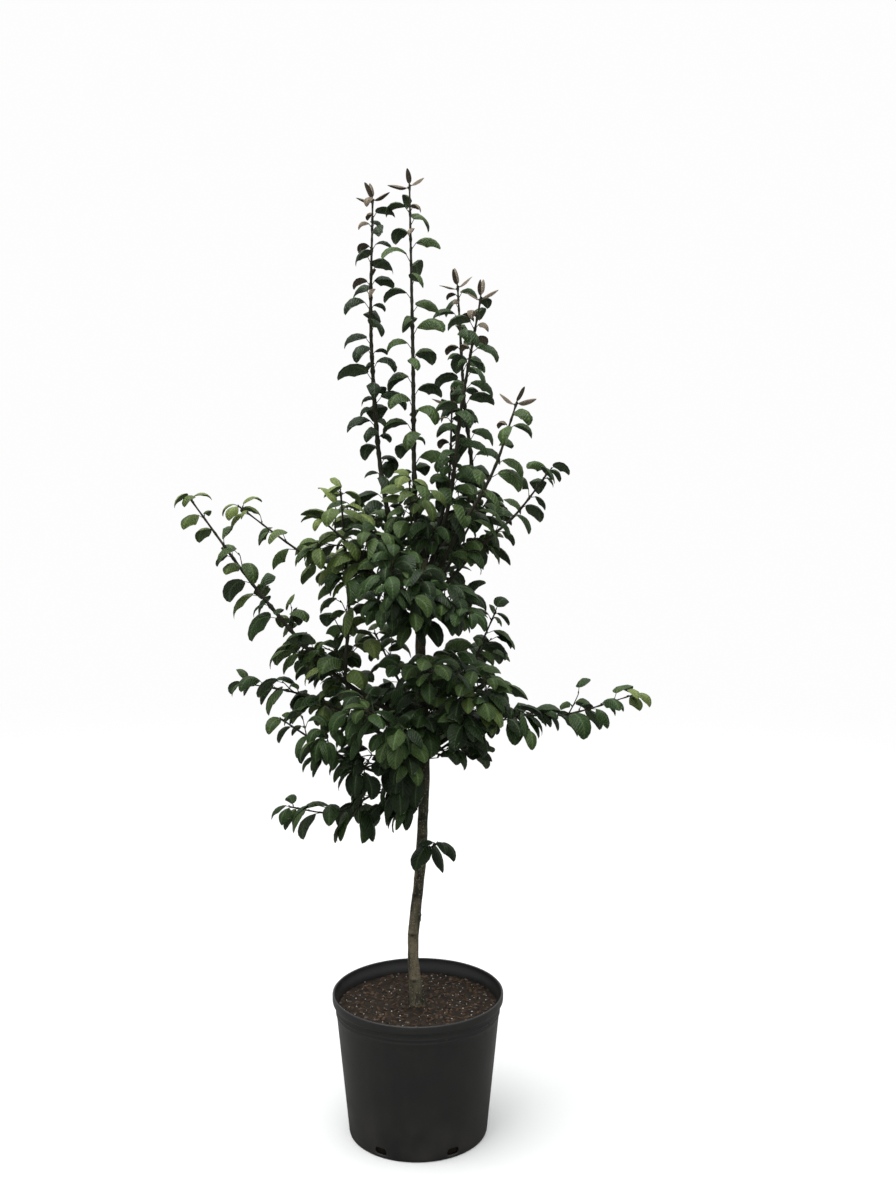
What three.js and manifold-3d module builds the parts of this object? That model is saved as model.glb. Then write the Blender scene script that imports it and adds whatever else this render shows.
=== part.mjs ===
// A young bosc pear tree in a nursery pot.
// Millimetres, Z up. The origin is the centre of the pot's underside, and the front of the tree faces -Y.
// Heights on the tree are counted from the top of the potting mix, where the trunk is cut flat.

import * as THREE from "three";
import { mergeVertices } from "three/addons/utils/BufferGeometryUtils.js";
import Module from "manifold-3d";

const wasm = await Module();
wasm.setup();

// Pot and potting mix
const POT_HEIGHT = 300;
const FOOT_RADIUS = 145;
const BODY_RADIUS = 172;
const RIM_RADIUS = 178;
const RIM_DEPTH = 18;
const WALL = 3;
const ROUND_SIDES = 32;
const DRAINS = 6;
const DRAIN = { width: 26, height: 15, sill: 7 };
const MIX_LEVEL = 270;
const SEAT = 0.3; // the gap that pieces keep where one rests on the other

// Trunk: the points of its line are [height, lean to the right]
const TRUNK_LINE = [
  [0, 0], [40, -5], [130, -10], [300, 6], [400, 11],
  [520, 15], [650, 12], [755, 7], [935, 14],
];
const TRUNK_FOOT = 11.6;
const TRUNK_HEAD = 9.6;
const FLARE = 7;
const FLARE_FADE = 32;
const TRUNK_RINGS = 18;
const TRUNK_SIDES = 10;

// Wood: a limb is this thick at its start, and thicker by its reach
const THIN = 2.2;
const THICKEN = 0.003;
const TIP_RADIUS = 1.1;
const BOUGH_SWELL = 1.45; // a bough's foot against its end
const BOUGH_SIDES = 5;
const BOUGH_RINGS = 3;
const STEM_SIDES = 4;
const STEM_STEP = 75;
const TWIG_SIDES = 3;
const TWIG_RADIUS = 1.8;
const TWIG_LEAN = 55;
const TWIG_LIFT = 0.14;
const TWIG_STEPS = 2;

// Leaves
const GOLDEN_TURN = 137.5;
const LEAF_WIDTH = 0.6; // of the blade's length
const LEAF_THICK = 1.8;
const WIDEST = 0.45; // how far along the blade it is widest
const STEEPEST = -88;
const BARE_FOOT = 24; // of a stem
const BARE_TWIG = 18;
const YOUNG = { count: 3, stalk: 7, blade: 34, hang: 0, curl: 26, lean: 30 };

// How far apart things keep
const CELL = 20;
const LEAF_CLEAR = 10;
const OWN_CLEAR = 6;
const WOOD_CLEAR = 3.2;
const WOOD_STEP = 8;
const TRIES = 5;

// Habits of growth: a leaf every pitch along the wood, some in pairs, leaning from it by lean.
// The blade hangs from the stalk's slope, and then curls down. A bushy shoot has side twigs too.
const HABITS = {
  leader: { pitch: 34, pairs: 0.28, stalk: 18, blade: 62, lean: 52, hang: 0, curl: 112, twigs: 0, reach: 0 },
  sprawler: { pitch: 40, pairs: 0.3, stalk: 18, blade: 66, lean: 58, hang: 5, curl: 88, twigs: 1, reach: 55 },
  bush: { pitch: 44, pairs: 0.1, stalk: 20, blade: 80, lean: 62, hang: 20, curl: 75, twigs: 3, reach: 85 },
  skirt: { pitch: 44, pairs: 0.1, stalk: 22, blade: 78, lean: 66, hang: 40, curl: 60, twigs: 3, reach: 82 },
  spur: { pitch: 26, pairs: 0.3, stalk: 20, blade: 70, lean: 58, hang: 10, curl: 85, twigs: 1, reach: 50 },
};

// Each shoot leaves the trunk at a height and aims out by a compass angle, 0 to the right and 90 to the back.
// knee and tip are [out, up] from there: its bough ends at the knee, and its leafy stem runs on to the tip.
// A shoot with no knee is leafy from the trunk. turn swings the tip on from the aim, and sway and bow move
// the stem's middle out and up.
const SHOOTS = [
  ...withHabit(HABITS.leader, [
    { name: "central_leader", at: 930, aim: 180, knee: [15, 100], tip: [28, 737], turn: -20 },
    { name: "left_leader", at: 868, aim: 167, knee: [66, 140], tip: [101, 775], turn: -4, sway: 20, bow: 15 },
    { name: "right_leader", at: 876, aim: 334, knee: [57, 160], tip: [125, 570], turn: 3, sway: -5 },
    { name: "back_right_leader", at: 898, aim: 30, knee: [108, 155], tip: [125, 585], turn: 26 },
    { name: "right_upper", at: 850, aim: 321, knee: [95, 142], tip: [209, 394], turn: 11, sway: 12, bow: -9 },
    { name: "inner_right_leader", at: 912, aim: 10, tip: [66, 335], turn: 18, sway: 18, bow: -20 },
  ]),
  ...withHabit(HABITS.sprawler, [
    { name: "far_right_upper", at: 822, aim: 355, knee: [115, 135], tip: [258, 290], turn: 5, bow: -14 },
    { name: "left_upper", at: 790, aim: 188, knee: [138, 94], tip: [358, 250], turn: -3, bow: -6 },
    { name: "left_sprout", at: 562, aim: 190, knee: [148, 92], tip: [171, 509], turn: 9, sway: -5, bow: -20 },
    { name: "far_left", at: 582, aim: 180, knee: [185, 120], tip: [474, 474], turn: -3, sway: -8, bow: -30 },
    { name: "left_low", at: 514, aim: 171, knee: [150, 92], tip: [376, 160], turn: 3, sway: -6, bow: 12 },
    { name: "left_bottom", at: 462, aim: 180, knee: [88, -8], tip: [273, -34], turn: 4, sway: 5, bow: -27 },
    { name: "far_right", at: 536, aim: 351, knee: [128, 78], tip: [424, 130], turn: 3, sway: 8, bow: -17 },
    { name: "right_middle", at: 592, aim: 14, knee: [80, 56], tip: [149, 233], turn: -3, bow: 9 },
  ]),
  ...withHabit(HABITS.bush, [
    { name: "left_inner", at: 830, aim: 212, knee: [90, 62], tip: [215, 190], turn: -5, bow: 8 },
    { name: "front_upper", at: 826, aim: 252, knee: [70, 30], tip: [190, 58], turn: 4, bow: 14 },
    { name: "back_left_upper", at: 836, aim: 135, knee: [85, 55], tip: [205, 190], turn: 5, bow: 10 },
    { name: "back_upper", at: 812, aim: 90, knee: [85, 50], tip: [225, 150], turn: -4, bow: 12 },
    { name: "back_right_upper", at: 858, aim: 52, knee: [80, 50], tip: [200, 190], turn: -6, bow: 10 },
    { name: "back_left_low", at: 544, aim: 146, knee: [100, 55], tip: [285, 150], turn: 4, bow: 12 },
    { name: "back_right_low", at: 552, aim: 55, knee: [90, 55], tip: [245, 165], turn: 5, bow: 12 },
  ]),
  ...withHabit(HABITS.skirt, [
    { name: "left_low_front", at: 486, aim: 199, knee: [110, 22], tip: [290, 136], turn: -3, sway: 10 },
    { name: "front_left_low", at: 530, aim: 240, knee: [75, 40], tip: [210, 113], turn: 5, bow: 8 },
    { name: "front_right_upper", at: 796, aim: 305, tip: [180, 48], turn: -3, bow: 20 },
    { name: "right_front_low", at: 570, aim: 315, knee: [75, 50], tip: [172, 139], turn: 1, bow: 6 },
    { name: "back_low", at: 508, aim: 100, knee: [90, 48], tip: [255, 120], turn: -8, bow: 12 },
    { name: "front_low", at: 556, aim: 274, tip: [175, 150], turn: 1, bow: 6 },
    { name: "front_bottom", at: 482, aim: 262, tip: [150, 66], turn: -4, bow: 14 },
    { name: "right_bottom", at: 520, aim: 322, tip: [190, 108], turn: 4, bow: 12 },
    { name: "front_left_bottom", at: 504, aim: 220, tip: [165, 20], turn: -4, bow: 16 },
  ]),
  ...withHabit(HABITS.spur, [
    { name: "front_leader", at: 884, aim: 240, tip: [74, 212], turn: 11, sway: 14 },
    { name: "left_back_middle", at: 604, aim: 141, tip: [131, 168], turn: 1, bow: -10 },
    { name: "trunk_sprout", at: 332, aim: 318, tip: [44, 32] },
  ]),
];

function withHabit(habit, shoots) {
  return shoots.map((shoot) => ({ ...shoot, habit }));
}

const UP = new THREE.Vector3(0, 0, 1);
const SIDEWAYS = new THREE.Vector3(1, 0, 0);
const radians = THREE.MathUtils.degToRad;
const blend = THREE.MathUtils.lerp;

// Repeatable random numbers from 0 to 1
function seeded(seed) {
  let state = Math.imul(seed + 1, 2654435761) >>> 0;
  return () => {
    state = (Math.imul(state, 1664525) + 1013904223) >>> 0;
    return state / 4294967296;
  };
}

// Solids: closed meshes that are joined and cut

function solidOf(geometry) {
  geometry.deleteAttribute("normal");
  geometry.deleteAttribute("uv");
  const merged = mergeVertices(geometry, 1e-3);
  const corners = merged.index.array;
  const kept = [];
  for (let i = 0; i < corners.length; i += 3) {
    const [a, b, c] = corners.slice(i, i + 3);
    if (a !== b && b !== c && a !== c) kept.push(a, b, c);
  }
  const vertProperties = merged.attributes.position.array;
  return new wasm.Manifold(new wasm.Mesh({ numProp: 3, vertProperties, triVerts: new Uint32Array(kept) }));
}

function geometryOf(solid) {
  const mesh = solid.getMesh();
  const geometry = new THREE.BufferGeometry();
  geometry.setAttribute("position", new THREE.BufferAttribute(mesh.vertProperties, 3));
  geometry.setIndex(new THREE.BufferAttribute(mesh.triVerts, 1));
  geometry.computeVertexNormals();
  return geometry;
}

function turned(profile) {
  const points = profile.map(([radius, height]) => new THREE.Vector2(radius, height));
  return solidOf(new THREE.LatheGeometry(points, ROUND_SIDES).rotateX(Math.PI / 2));
}

// A limb runs along rings that each have a place and a direction, with two more axes that don't twist
function ringsAlong(points) {
  const rings = points.map((place, i) => {
    const before = points[Math.max(i - 1, 0)];
    const after = points[Math.min(i + 1, points.length - 1)];
    return { place, direction: after.clone().sub(before).normalize() };
  });
  let normal = across(rings[0].direction);
  for (const ring of rings) {
    normal = normal.clone().addScaledVector(ring.direction, -normal.dot(ring.direction)).normalize();
    ring.normal = normal;
    ring.binormal = new THREE.Vector3().crossVectors(ring.direction, normal);
  }
  return rings;
}

// A closed cylinder whose rings are moved to a limb's rings
function limb(rings, radii, sides) {
  const last = rings.length - 1;
  const geometry = new THREE.CylinderGeometry(1, 1, 1, sides, last);
  const corners = geometry.attributes.position;
  for (let i = 0; i < corners.count; i++) {
    const index = Math.round((corners.getY(i) + 0.5) * last);
    const { place, normal, binormal } = rings[index];
    const corner = place.clone().addScaledVector(normal, corners.getX(i) * radii[index]);
    corner.addScaledVector(binormal, -corners.getZ(i) * radii[index]);
    corners.setXYZ(i, corner.x, corner.y, corner.z);
  }
  return solidOf(geometry);
}

function taper(rings, start, end) {
  return rings.map((_, i) => blend(start, end, i / (rings.length - 1)));
}

// Pot

function wallRadius(height) {
  return blend(FOOT_RADIUS, BODY_RADIUS, height / (POT_HEIGHT - RIM_DEPTH));
}

function potSolid() {
  const rimFoot = POT_HEIGHT - RIM_DEPTH;
  const shell = turned([
    [0, 0],
    [FOOT_RADIUS, 0],
    [wallRadius(rimFoot), rimFoot],
    [RIM_RADIUS, rimFoot + WALL],
    [RIM_RADIUS, POT_HEIGHT],
    [RIM_RADIUS - WALL, POT_HEIGHT],
    [wallRadius(rimFoot) - WALL, rimFoot + WALL],
    [wallRadius(WALL) - WALL, WALL],
    [0, WALL],
  ]);
  const drains = [];
  for (let i = 0; i < DRAINS; i++) {
    const slot = new THREE.BoxGeometry(DRAIN.width, 6 * WALL, DRAIN.height);
    slot.translate(0, FOOT_RADIUS, DRAIN.sill + DRAIN.height / 2);
    slot.rotateZ(((i + 0.5) * 2 * Math.PI) / DRAINS);
    drains.push(solidOf(slot));
  }
  return shell.subtract(wasm.Manifold.union(drains));
}

function mixSolid() {
  const floor = WALL + SEAT;
  const top = MIX_LEVEL - SEAT;
  return turned([
    [0, floor],
    [wallRadius(floor) - WALL - SEAT, floor],
    [wallRadius(top) - WALL - SEAT, top],
    [0, top],
  ]);
}

// Trunk

const trunkCurve = new THREE.CatmullRomCurve3(
  TRUNK_LINE.map(([height, lean]) => new THREE.Vector3(lean, 0, MIX_LEVEL + height)),
);
const TRUNK_TOP = TRUNK_LINE.at(-1)[0];

function trunkRadius(height) {
  return blend(TRUNK_FOOT, TRUNK_HEAD, height / TRUNK_TOP) + FLARE * Math.exp(-height / FLARE_FADE);
}

function trunkPoint(height) {
  let low = 0;
  let high = 1;
  for (let i = 0; i < 30; i++) {
    const middle = (low + high) / 2;
    if (trunkCurve.getPoint(middle).z < MIX_LEVEL + height) low = middle;
    else high = middle;
  }
  return trunkCurve.getPoint(low);
}

// The rings are closer together at the flared foot
const TRUNK_HEIGHTS = Array.from({ length: TRUNK_RINGS + 1 }, (_, i) => TRUNK_TOP * (i / TRUNK_RINGS) ** 1.5);

function trunkSolid(more) {
  const sunk = trunkPoint(0).addScaledVector(UP, -FLARE_FADE);
  const points = [sunk, ...TRUNK_HEIGHTS.map(trunkPoint)];
  points.at(-1).addScaledVector(UP, more);
  const radii = [0, ...TRUNK_HEIGHTS].map((height) => trunkRadius(height) + more);
  const ground = new THREE.BoxGeometry(4 * FLARE_FADE, 4 * FLARE_FADE, 4 * FLARE_FADE);
  ground.translate(0, 0, MIX_LEVEL - 2 * FLARE_FADE);
  return limb(ringsAlong(points), radii, TRUNK_SIDES).subtract(solidOf(ground));
}

// Growth: the lines of the wood and the leaves on them

function compass(degrees) {
  return new THREE.Vector3(Math.cos(radians(degrees)), Math.sin(radians(degrees)), 0);
}

function across(direction) {
  return new THREE.Vector3().crossVectors(direction, Math.abs(direction.z) > 0.9 ? SIDEWAYS : UP).normalize();
}

// A shoot's bough, from the trunk to the knee, and its stem, from there to the tip
function shootLines({ at, aim, knee, tip, turn = 0, sway = 0, bow = 0 }) {
  const start = trunkPoint(at);
  const offset = (angle, out, up) => compass(angle).multiplyScalar(out).addScaledVector(UP, up);
  const tipPoint = start.clone().add(offset(aim + turn, ...tip));
  const foot = knee ? [start, start.clone().add(offset(aim, ...knee))] : [start];
  const middle = foot.at(-1).clone().lerp(tipPoint, 0.5).add(offset(aim, sway, bow));
  const curve = new THREE.CatmullRomCurve3([...foot, middle, tipPoint]);
  const kneeAt = (foot.length - 1) / (foot.length + 1);
  const steps = Math.max(3, Math.round(foot.at(-1).distanceTo(tipPoint) / STEM_STEP));
  const bough = [];
  const stem = [];
  for (let i = 0; knee && i <= BOUGH_RINGS; i++) bough.push(curve.getPoint((kneeAt * i) / BOUGH_RINGS));
  for (let i = 0; i <= steps; i++) stem.push(curve.getPoint(blend(kneeAt, 1, i / steps)));
  return { bough, stem };
}

function lineLength(points) {
  let total = 0;
  for (let i = 1; i < points.length; i++) total += points[i].distanceTo(points[i - 1]);
  return total;
}

// The place at a distance along a line, with the line's direction there
function along(points, distance) {
  let left = distance;
  let i = 1;
  while (i < points.length - 1 && left > points[i].distanceTo(points[i - 1])) {
    left -= points[i].distanceTo(points[i - 1]);
    i += 1;
  }
  const direction = points[i].clone().sub(points[i - 1]).normalize();
  return { place: points[i - 1].clone().addScaledVector(direction, left), direction };
}

// The way out of a line at a turn round it, leaning from the line's own direction
function leaningOut(direction, turn, lean) {
  const first = across(direction);
  const second = new THREE.Vector3().crossVectors(direction, first);
  first.multiplyScalar(Math.cos(radians(turn))).addScaledVector(second, Math.sin(radians(turn)));
  first.multiplyScalar(Math.sin(radians(lean)));
  return first.addScaledVector(direction, Math.cos(radians(lean)));
}

// A leaf's stalk runs straight out, and its blade bends down from rise to fall in the stalk's upright plane
function makeLeaf(root, out, form, roll) {
  const level = Math.hypot(out.x, out.y);
  const heading = new THREE.Vector3(out.x / level, out.y / level, 0);
  const rise = Math.max(Math.asin(out.z) - radians(form.hang), radians(STEEPEST));
  const fall = Math.max(rise - radians(form.curl), radians(STEEPEST));
  const { stalk, blade } = form;
  return { root, out, stalk, blade, heading, rise, fall, roll: radians(roll) };
}

// The place on a leaf's blade that is s along it and t of half its width aside, and the blade's normal there
function onBlade({ root, out, stalk, blade, heading, rise, fall, roll }, s, t) {
  const bend = Math.min(fall - rise, -1e-3);
  const slope = rise + bend * s;
  const forward = (Math.sin(slope) - Math.sin(rise)) / bend;
  const upward = (Math.cos(rise) - Math.cos(slope)) / bend;
  const direction = heading.clone().multiplyScalar(Math.cos(slope)).addScaledVector(UP, Math.sin(slope));
  const level = new THREE.Vector3().crossVectors(heading, UP);
  const crown = new THREE.Vector3().crossVectors(level, direction);
  const side = level.multiplyScalar(Math.cos(roll)).addScaledVector(crown, Math.sin(roll));
  const normal = new THREE.Vector3().crossVectors(side, direction);
  const place = root.clone().addScaledVector(out, stalk);
  place.addScaledVector(heading, forward * blade).addScaledVector(UP, upward * blade);
  return { place: place.addScaledVector(side, (t * blade * LEAF_WIDTH) / 2), normal };
}

// Rows of places over a leaf, each row [share, count]: first from its root, then from its tip, to its widest
const ROWS_FROM_ROOT = [[0.3, 1], [0.5, 3], [0.7, 5], [0.85, 6], [1, 6]];
const ROWS_FROM_TIP = [[0, 1], [0.25, 3], [0.5, 4], [0.75, 5]];

function leafSamples(leaf) {
  const samples = [];
  const tip = onBlade(leaf, 1, 0).place;
  for (const [end, rows] of [[leaf.root, ROWS_FROM_ROOT], [tip, ROWS_FROM_TIP]]) {
    for (const [share, count] of rows) {
      for (let i = 0; i < count; i++) {
        const t = count > 1 ? (2 * i) / (count - 1) - 1 : 0;
        samples.push(end.clone().lerp(onBlade(leaf, WIDEST, t).place, share));
      }
    }
  }
  return samples;
}

// What has grown so far, kept by cell so that what is near is quick to find
const cells = new Map();
const trunkAndBoughs = []; // [start, end, radius] of each stretch

function cellOf(value) {
  return Math.floor(value / CELL);
}

function settle(points, owner, wood) {
  for (const point of points) {
    const key = `${cellOf(point.x)},${cellOf(point.y)},${cellOf(point.z)}`;
    if (!cells.has(key)) cells.set(key, []);
    cells.get(key).push({ point, owner, wood });
  }
}

function nearby({ x, y, z }) {
  const found = [];
  for (let i = cellOf(x) - 1; i <= cellOf(x) + 1; i++) {
    for (let j = cellOf(y) - 1; j <= cellOf(y) + 1; j++) {
      for (let k = cellOf(z) - 1; k <= cellOf(z) + 1; k++) found.push(...(cells.get(`${i},${j},${k}`) ?? []));
    }
  }
  return found;
}

function isFree(points, owner) {
  const nearest = new THREE.Vector3();
  const stretch = new THREE.Line3();
  return points.every((point) => {
    const clearOfLimbs = trunkAndBoughs.every(([start, end, radius]) => {
      stretch.set(start, end).closestPointToPoint(point, true, nearest);
      return nearest.distanceTo(point) > radius + WOOD_CLEAR;
    });
    return clearOfLimbs && nearby(point).every((other) => {
      if (other.owner === owner && other.wood) return true;
      return other.point.distanceTo(point) > (other.owner === owner ? OWN_CLEAR : LEAF_CLEAR);
    });
  });
}

function spaced(points) {
  const length = lineLength(points);
  const count = Math.ceil(length / WOOD_STEP);
  return Array.from({ length: count + 1 }, (_, i) => along(points, (length * i) / count).place);
}

// A side twig leans out from its stem and then bends upward
function growTwig(stem, distance, turn, reach) {
  const { place, direction } = along(stem, distance);
  const way = leaningOut(direction, turn, TWIG_LEAN);
  const points = [place];
  for (let i = 0; i < TWIG_STEPS; i++) {
    way.addScaledVector(UP, TWIG_LIFT).normalize();
    points.push(points.at(-1).clone().addScaledVector(way, reach / TWIG_STEPS));
  }
  return points;
}

function growTwigs({ stem, twigs, habit, owner, random }) {
  const length = lineLength(stem);
  for (let i = 0; i < habit.twigs; i++) {
    const share = 0.14 + (0.62 * i) / habit.twigs;
    const reach = habit.reach * (1.15 - 0.5 * share) * (0.85 + 0.3 * random());
    const turn = i * GOLDEN_TURN + 90 * random();
    for (let attempt = 0; attempt < TRIES; attempt++) {
      const twig = growTwig(stem, Math.max(length * share, BARE_FOOT), turn + attempt * 71, reach);
      const samples = spaced(twig).slice(2);
      if (isFree(samples, owner)) {
        settle(samples, owner, true);
        twigs.push(twig);
        break;
      }
    }
  }
}

// Leaves along one piece of wood at the golden turn, with a tuft of young ones at its end
function growLeaves({ leaves, habit, owner, random }, wood, bareFoot) {
  const length = lineLength(wood);
  const place = (distance, turn, form, size) => {
    const hang = form.hang * (1.4 - distance / length);
    const grown = { ...form, hang, stalk: form.stalk * size, blade: form.blade * size };
    const [lean, roll] = [form.lean + 12 * (random() - 0.5), 60 * (random() - 0.5)];
    for (let attempt = 0; attempt < TRIES; attempt++) {
      const spot = along(wood, distance);
      const out = leaningOut(spot.direction, turn + attempt * 67, lean);
      const leaf = makeLeaf(spot.place, out, grown, roll);
      const samples = leafSamples(leaf);
      if (isFree(samples, owner)) {
        settle(samples, owner, false);
        leaves.push(leaf);
        return;
      }
    }
  };
  for (let i = 0; i < YOUNG.count; i++) place(length - 1 - 3 * i, i * 115 + 60 * random(), YOUNG, 1);
  let turn = 360 * random();
  const pitch = () => habit.pitch * (0.85 + 0.3 * random());
  for (let distance = bareFoot; distance < length - BARE_TWIG; distance += pitch()) {
    const count = random() < habit.pairs ? 2 : 1;
    for (let i = 0; i < count; i++) {
      const size = (1 - 0.35 * (distance / length) ** 3) * (0.88 + 0.24 * random());
      place(distance + 4 * i, turn, habit, size);
      turn += GOLDEN_TURN;
    }
  }
}

function growTree() {
  const plants = SHOOTS.map((shoot, owner) => {
    const lines = shootLines(shoot);
    const thick = THIN + THICKEN * Math.hypot(...shoot.tip);
    return { ...shoot, ...lines, thick, owner, random: seeded(owner), twigs: [], leaves: [] };
  });
  for (let i = 1; i < TRUNK_HEIGHTS.length; i++) {
    const [low, high] = TRUNK_HEIGHTS.slice(i - 1, i + 1);
    trunkAndBoughs.push([trunkPoint(low), trunkPoint(high), trunkRadius(low)]);
  }
  for (const { bough, stem, thick, owner } of plants) {
    for (let i = 1; i < bough.length; i++) trunkAndBoughs.push([bough[i - 1], bough[i], thick * BOUGH_SWELL]);
    settle(spaced(stem), owner, true);
  }
  plants.forEach(growTwigs);
  for (const plant of plants) {
    growLeaves(plant, plant.stem, BARE_FOOT);
    for (const twig of plant.twigs) growLeaves(plant, twig, BARE_TWIG);
  }
  return plants;
}

// A leaf's solid: an octahedron whose corners move to the root, the tip, the two edges and the two faces
function leafSolid(leaf) {
  const edge = (t) => {
    const { place, normal } = onBlade(leaf, WIDEST, t);
    return place.addScaledVector(normal, LEAF_THICK);
  };
  const face = (share) => {
    const { place, normal } = onBlade(leaf, WIDEST, 0);
    return place.addScaledVector(normal, share * LEAF_THICK);
  };
  const tip = onBlade(leaf, 1, 0).place;
  const corners = { X: [edge(-1), edge(1)], Y: [leaf.root, tip], Z: [face(-0.5), face(0.5)] };
  const geometry = new THREE.OctahedronGeometry(1);
  const places = geometry.attributes.position;
  for (let i = 0; i < places.count; i++) {
    const axis = ["X", "Y", "Z"].find((name) => Math.abs(places[`get${name}`](i)) > 0.5);
    const corner = corners[axis][places[`get${axis}`](i) > 0 ? 1 : 0];
    places.setXYZ(i, corner.x, corner.y, corner.z);
  }
  return solidOf(geometry);
}

// A shoot's bough and its mass of leaves, whose ends face each other across the seat's gap at the knee
function shootSolids({ bough, stem, twigs, leaves, thick }, fatTrunk) {
  const rings = ringsAlong([...bough.slice(0, -1), ...stem]);
  const boughRings = rings.slice(0, bough.length);
  const stemRings = rings.slice(-stem.length);
  stemRings[0] = { ...stemRings[0], place: along(stem, SEAT).place };
  const wood = [limb(stemRings, taper(stemRings, thick, TIP_RADIUS), STEM_SIDES)];
  for (const twig of twigs) {
    const twigRings = ringsAlong(twig);
    wood.push(limb(twigRings, taper(twigRings, TWIG_RADIUS, TIP_RADIUS), TWIG_SIDES));
  }
  const mass = wasm.Manifold.union([...wood, ...leaves.map(leafSolid)]);
  if (!bough.length) return { mass: mass.subtract(fatTrunk) };
  const whole = limb(boughRings, taper(boughRings, thick * BOUGH_SWELL, thick), BOUGH_SIDES);
  return { mass, boughPiece: whole.subtract(fatTrunk) };
}

// Finishes
const finish = (color, roughness) => new THREE.MeshStandardMaterial({ color, roughness, metalness: 0 });
const POT_BLACK = finish(0x1d1e1f, 0.55);
const MIX_BROWN = finish(0x33271d, 0.95);
const BARK = finish(0x5b4f45, 0.85);
const SHOOT_BARK = finish(0x3d362e, 0.75);
const LEAF_GREEN = finish(0x2b3a26, 0.5);

const tree = new THREE.Group();

function addPiece(name, solid, material) {
  const piece = new THREE.Mesh(geometryOf(solid), material);
  piece.name = name;
  tree.add(piece);
}

addPiece("pot", potSolid(), POT_BLACK);
addPiece("potting_mix", mixSolid(), MIX_BROWN);
addPiece("trunk", trunkSolid(0), BARK);
const fatTrunk = trunkSolid(SEAT);
for (const plant of growTree()) {
  const { boughPiece, mass } = shootSolids(plant, fatTrunk);
  if (boughPiece) addPiece(`${plant.name}_bough`, boughPiece, SHOOT_BARK);
  addPiece(`${plant.name}_leaves`, mass, LEAF_GREEN);
}

export default tree;
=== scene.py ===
"""A young bosc pear tree in a nursery pot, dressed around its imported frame.

Blender works in metres. The tree's rule of growth counts in millimetres, as the part's source does, and
heights on the tree are counted from the top of the potting mix. The front of the tree faces -Y.
"""

import math

import bmesh
import bpy
import numpy as np
from mathutils import Matrix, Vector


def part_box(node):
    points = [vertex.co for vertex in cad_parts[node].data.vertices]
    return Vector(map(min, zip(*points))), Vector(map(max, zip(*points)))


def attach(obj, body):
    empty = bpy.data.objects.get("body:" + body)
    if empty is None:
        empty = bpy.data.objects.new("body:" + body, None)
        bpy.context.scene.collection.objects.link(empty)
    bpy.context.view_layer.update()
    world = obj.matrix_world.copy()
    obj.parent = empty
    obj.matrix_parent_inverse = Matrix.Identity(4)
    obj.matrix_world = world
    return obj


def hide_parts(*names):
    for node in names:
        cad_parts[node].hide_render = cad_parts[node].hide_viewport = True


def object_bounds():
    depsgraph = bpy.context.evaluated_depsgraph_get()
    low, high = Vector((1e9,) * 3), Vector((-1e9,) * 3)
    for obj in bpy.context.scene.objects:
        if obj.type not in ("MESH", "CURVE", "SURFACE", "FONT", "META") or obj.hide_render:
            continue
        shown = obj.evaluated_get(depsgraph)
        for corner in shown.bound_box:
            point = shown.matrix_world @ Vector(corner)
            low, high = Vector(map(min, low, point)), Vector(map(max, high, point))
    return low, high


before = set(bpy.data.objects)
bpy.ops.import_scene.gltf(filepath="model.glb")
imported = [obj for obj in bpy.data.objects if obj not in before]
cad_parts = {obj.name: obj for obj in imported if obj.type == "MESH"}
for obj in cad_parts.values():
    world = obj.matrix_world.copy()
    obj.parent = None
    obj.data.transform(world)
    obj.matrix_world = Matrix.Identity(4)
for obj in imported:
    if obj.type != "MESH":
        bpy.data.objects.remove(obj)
CAD_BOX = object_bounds()

MM = 0.001
UP = np.array([0.0, 0.0, 1.0])
SIDEWAYS = np.array([1.0, 0.0, 0.0])
FULL_TURN = 2 * math.pi

# Sizes read from the frame, in millimetres
POT_HIGH = np.array(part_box("pot")[1]) / MM
MIX_LOW, MIX_HIGH = (np.array(corner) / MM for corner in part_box("potting_mix"))
MIX_LEVEL = MIX_HIGH[2] + 0.3
REACH_LOW, REACH_HIGH = np.array(CAD_BOX) / MM

# Trunk: the points of its line are [height, lean to the right]
TRUNK_LINE = [
    [0, 0], [40, -5], [130, -10], [300, 6], [400, 11],
    [520, 15], [650, 12], [755, 7], [935, 14],
]
TRUNK_TOP = TRUNK_LINE[-1][0]
TRUNK_FOOT = 11.6
TRUNK_HEAD = 9.6
FLARE = 7
FLARE_FADE = 32
TRUNK_SIDES = 32
TRUNK_STEP = 3
TRUNK_SUNK = 10
# Where limbs were cut off, as [height, compass angle, size across]
SCARS = [
    [362, 275, 10], [314, 345, 8], [236, 240, 9], [188, 335, 12], [152, 258, 11], [54, 262, 10],
    [414, 60, 8], [270, 120, 9], [110, 75, 8], [640, 262, 7],
]
SCAR_RIM = 1.5
SCAR_HOLLOW = 0.9
SCAR_WRINKLE = 0.5
# The root flare's lobes, as [size, how many round the trunk, turn], and the trunk's waves, which also have a
# length up the trunk after their size
LOBES = [[0.22, 1, 0.5], [0.16, 3, 1.1], [0.09, 5, 2.0]]
WAVES = [[0.35, 23, 2, 0], [0.25, 9.5, 3, 1]]

# Wood: a limb is this thick at its start, and thicker by its reach
THIN = 2.2
THICKEN = 0.003
TIP_RADIUS = 1.5
TAPER = 1.5
BOUGH_SWELL = 1.45
COLLAR = 0.55
COLLAR_FADE = 11
NODE_SWELL = 0.28
LINE_STEP = 7
TWIG_STEPS = 2
TWIG_END = 0.9

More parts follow.
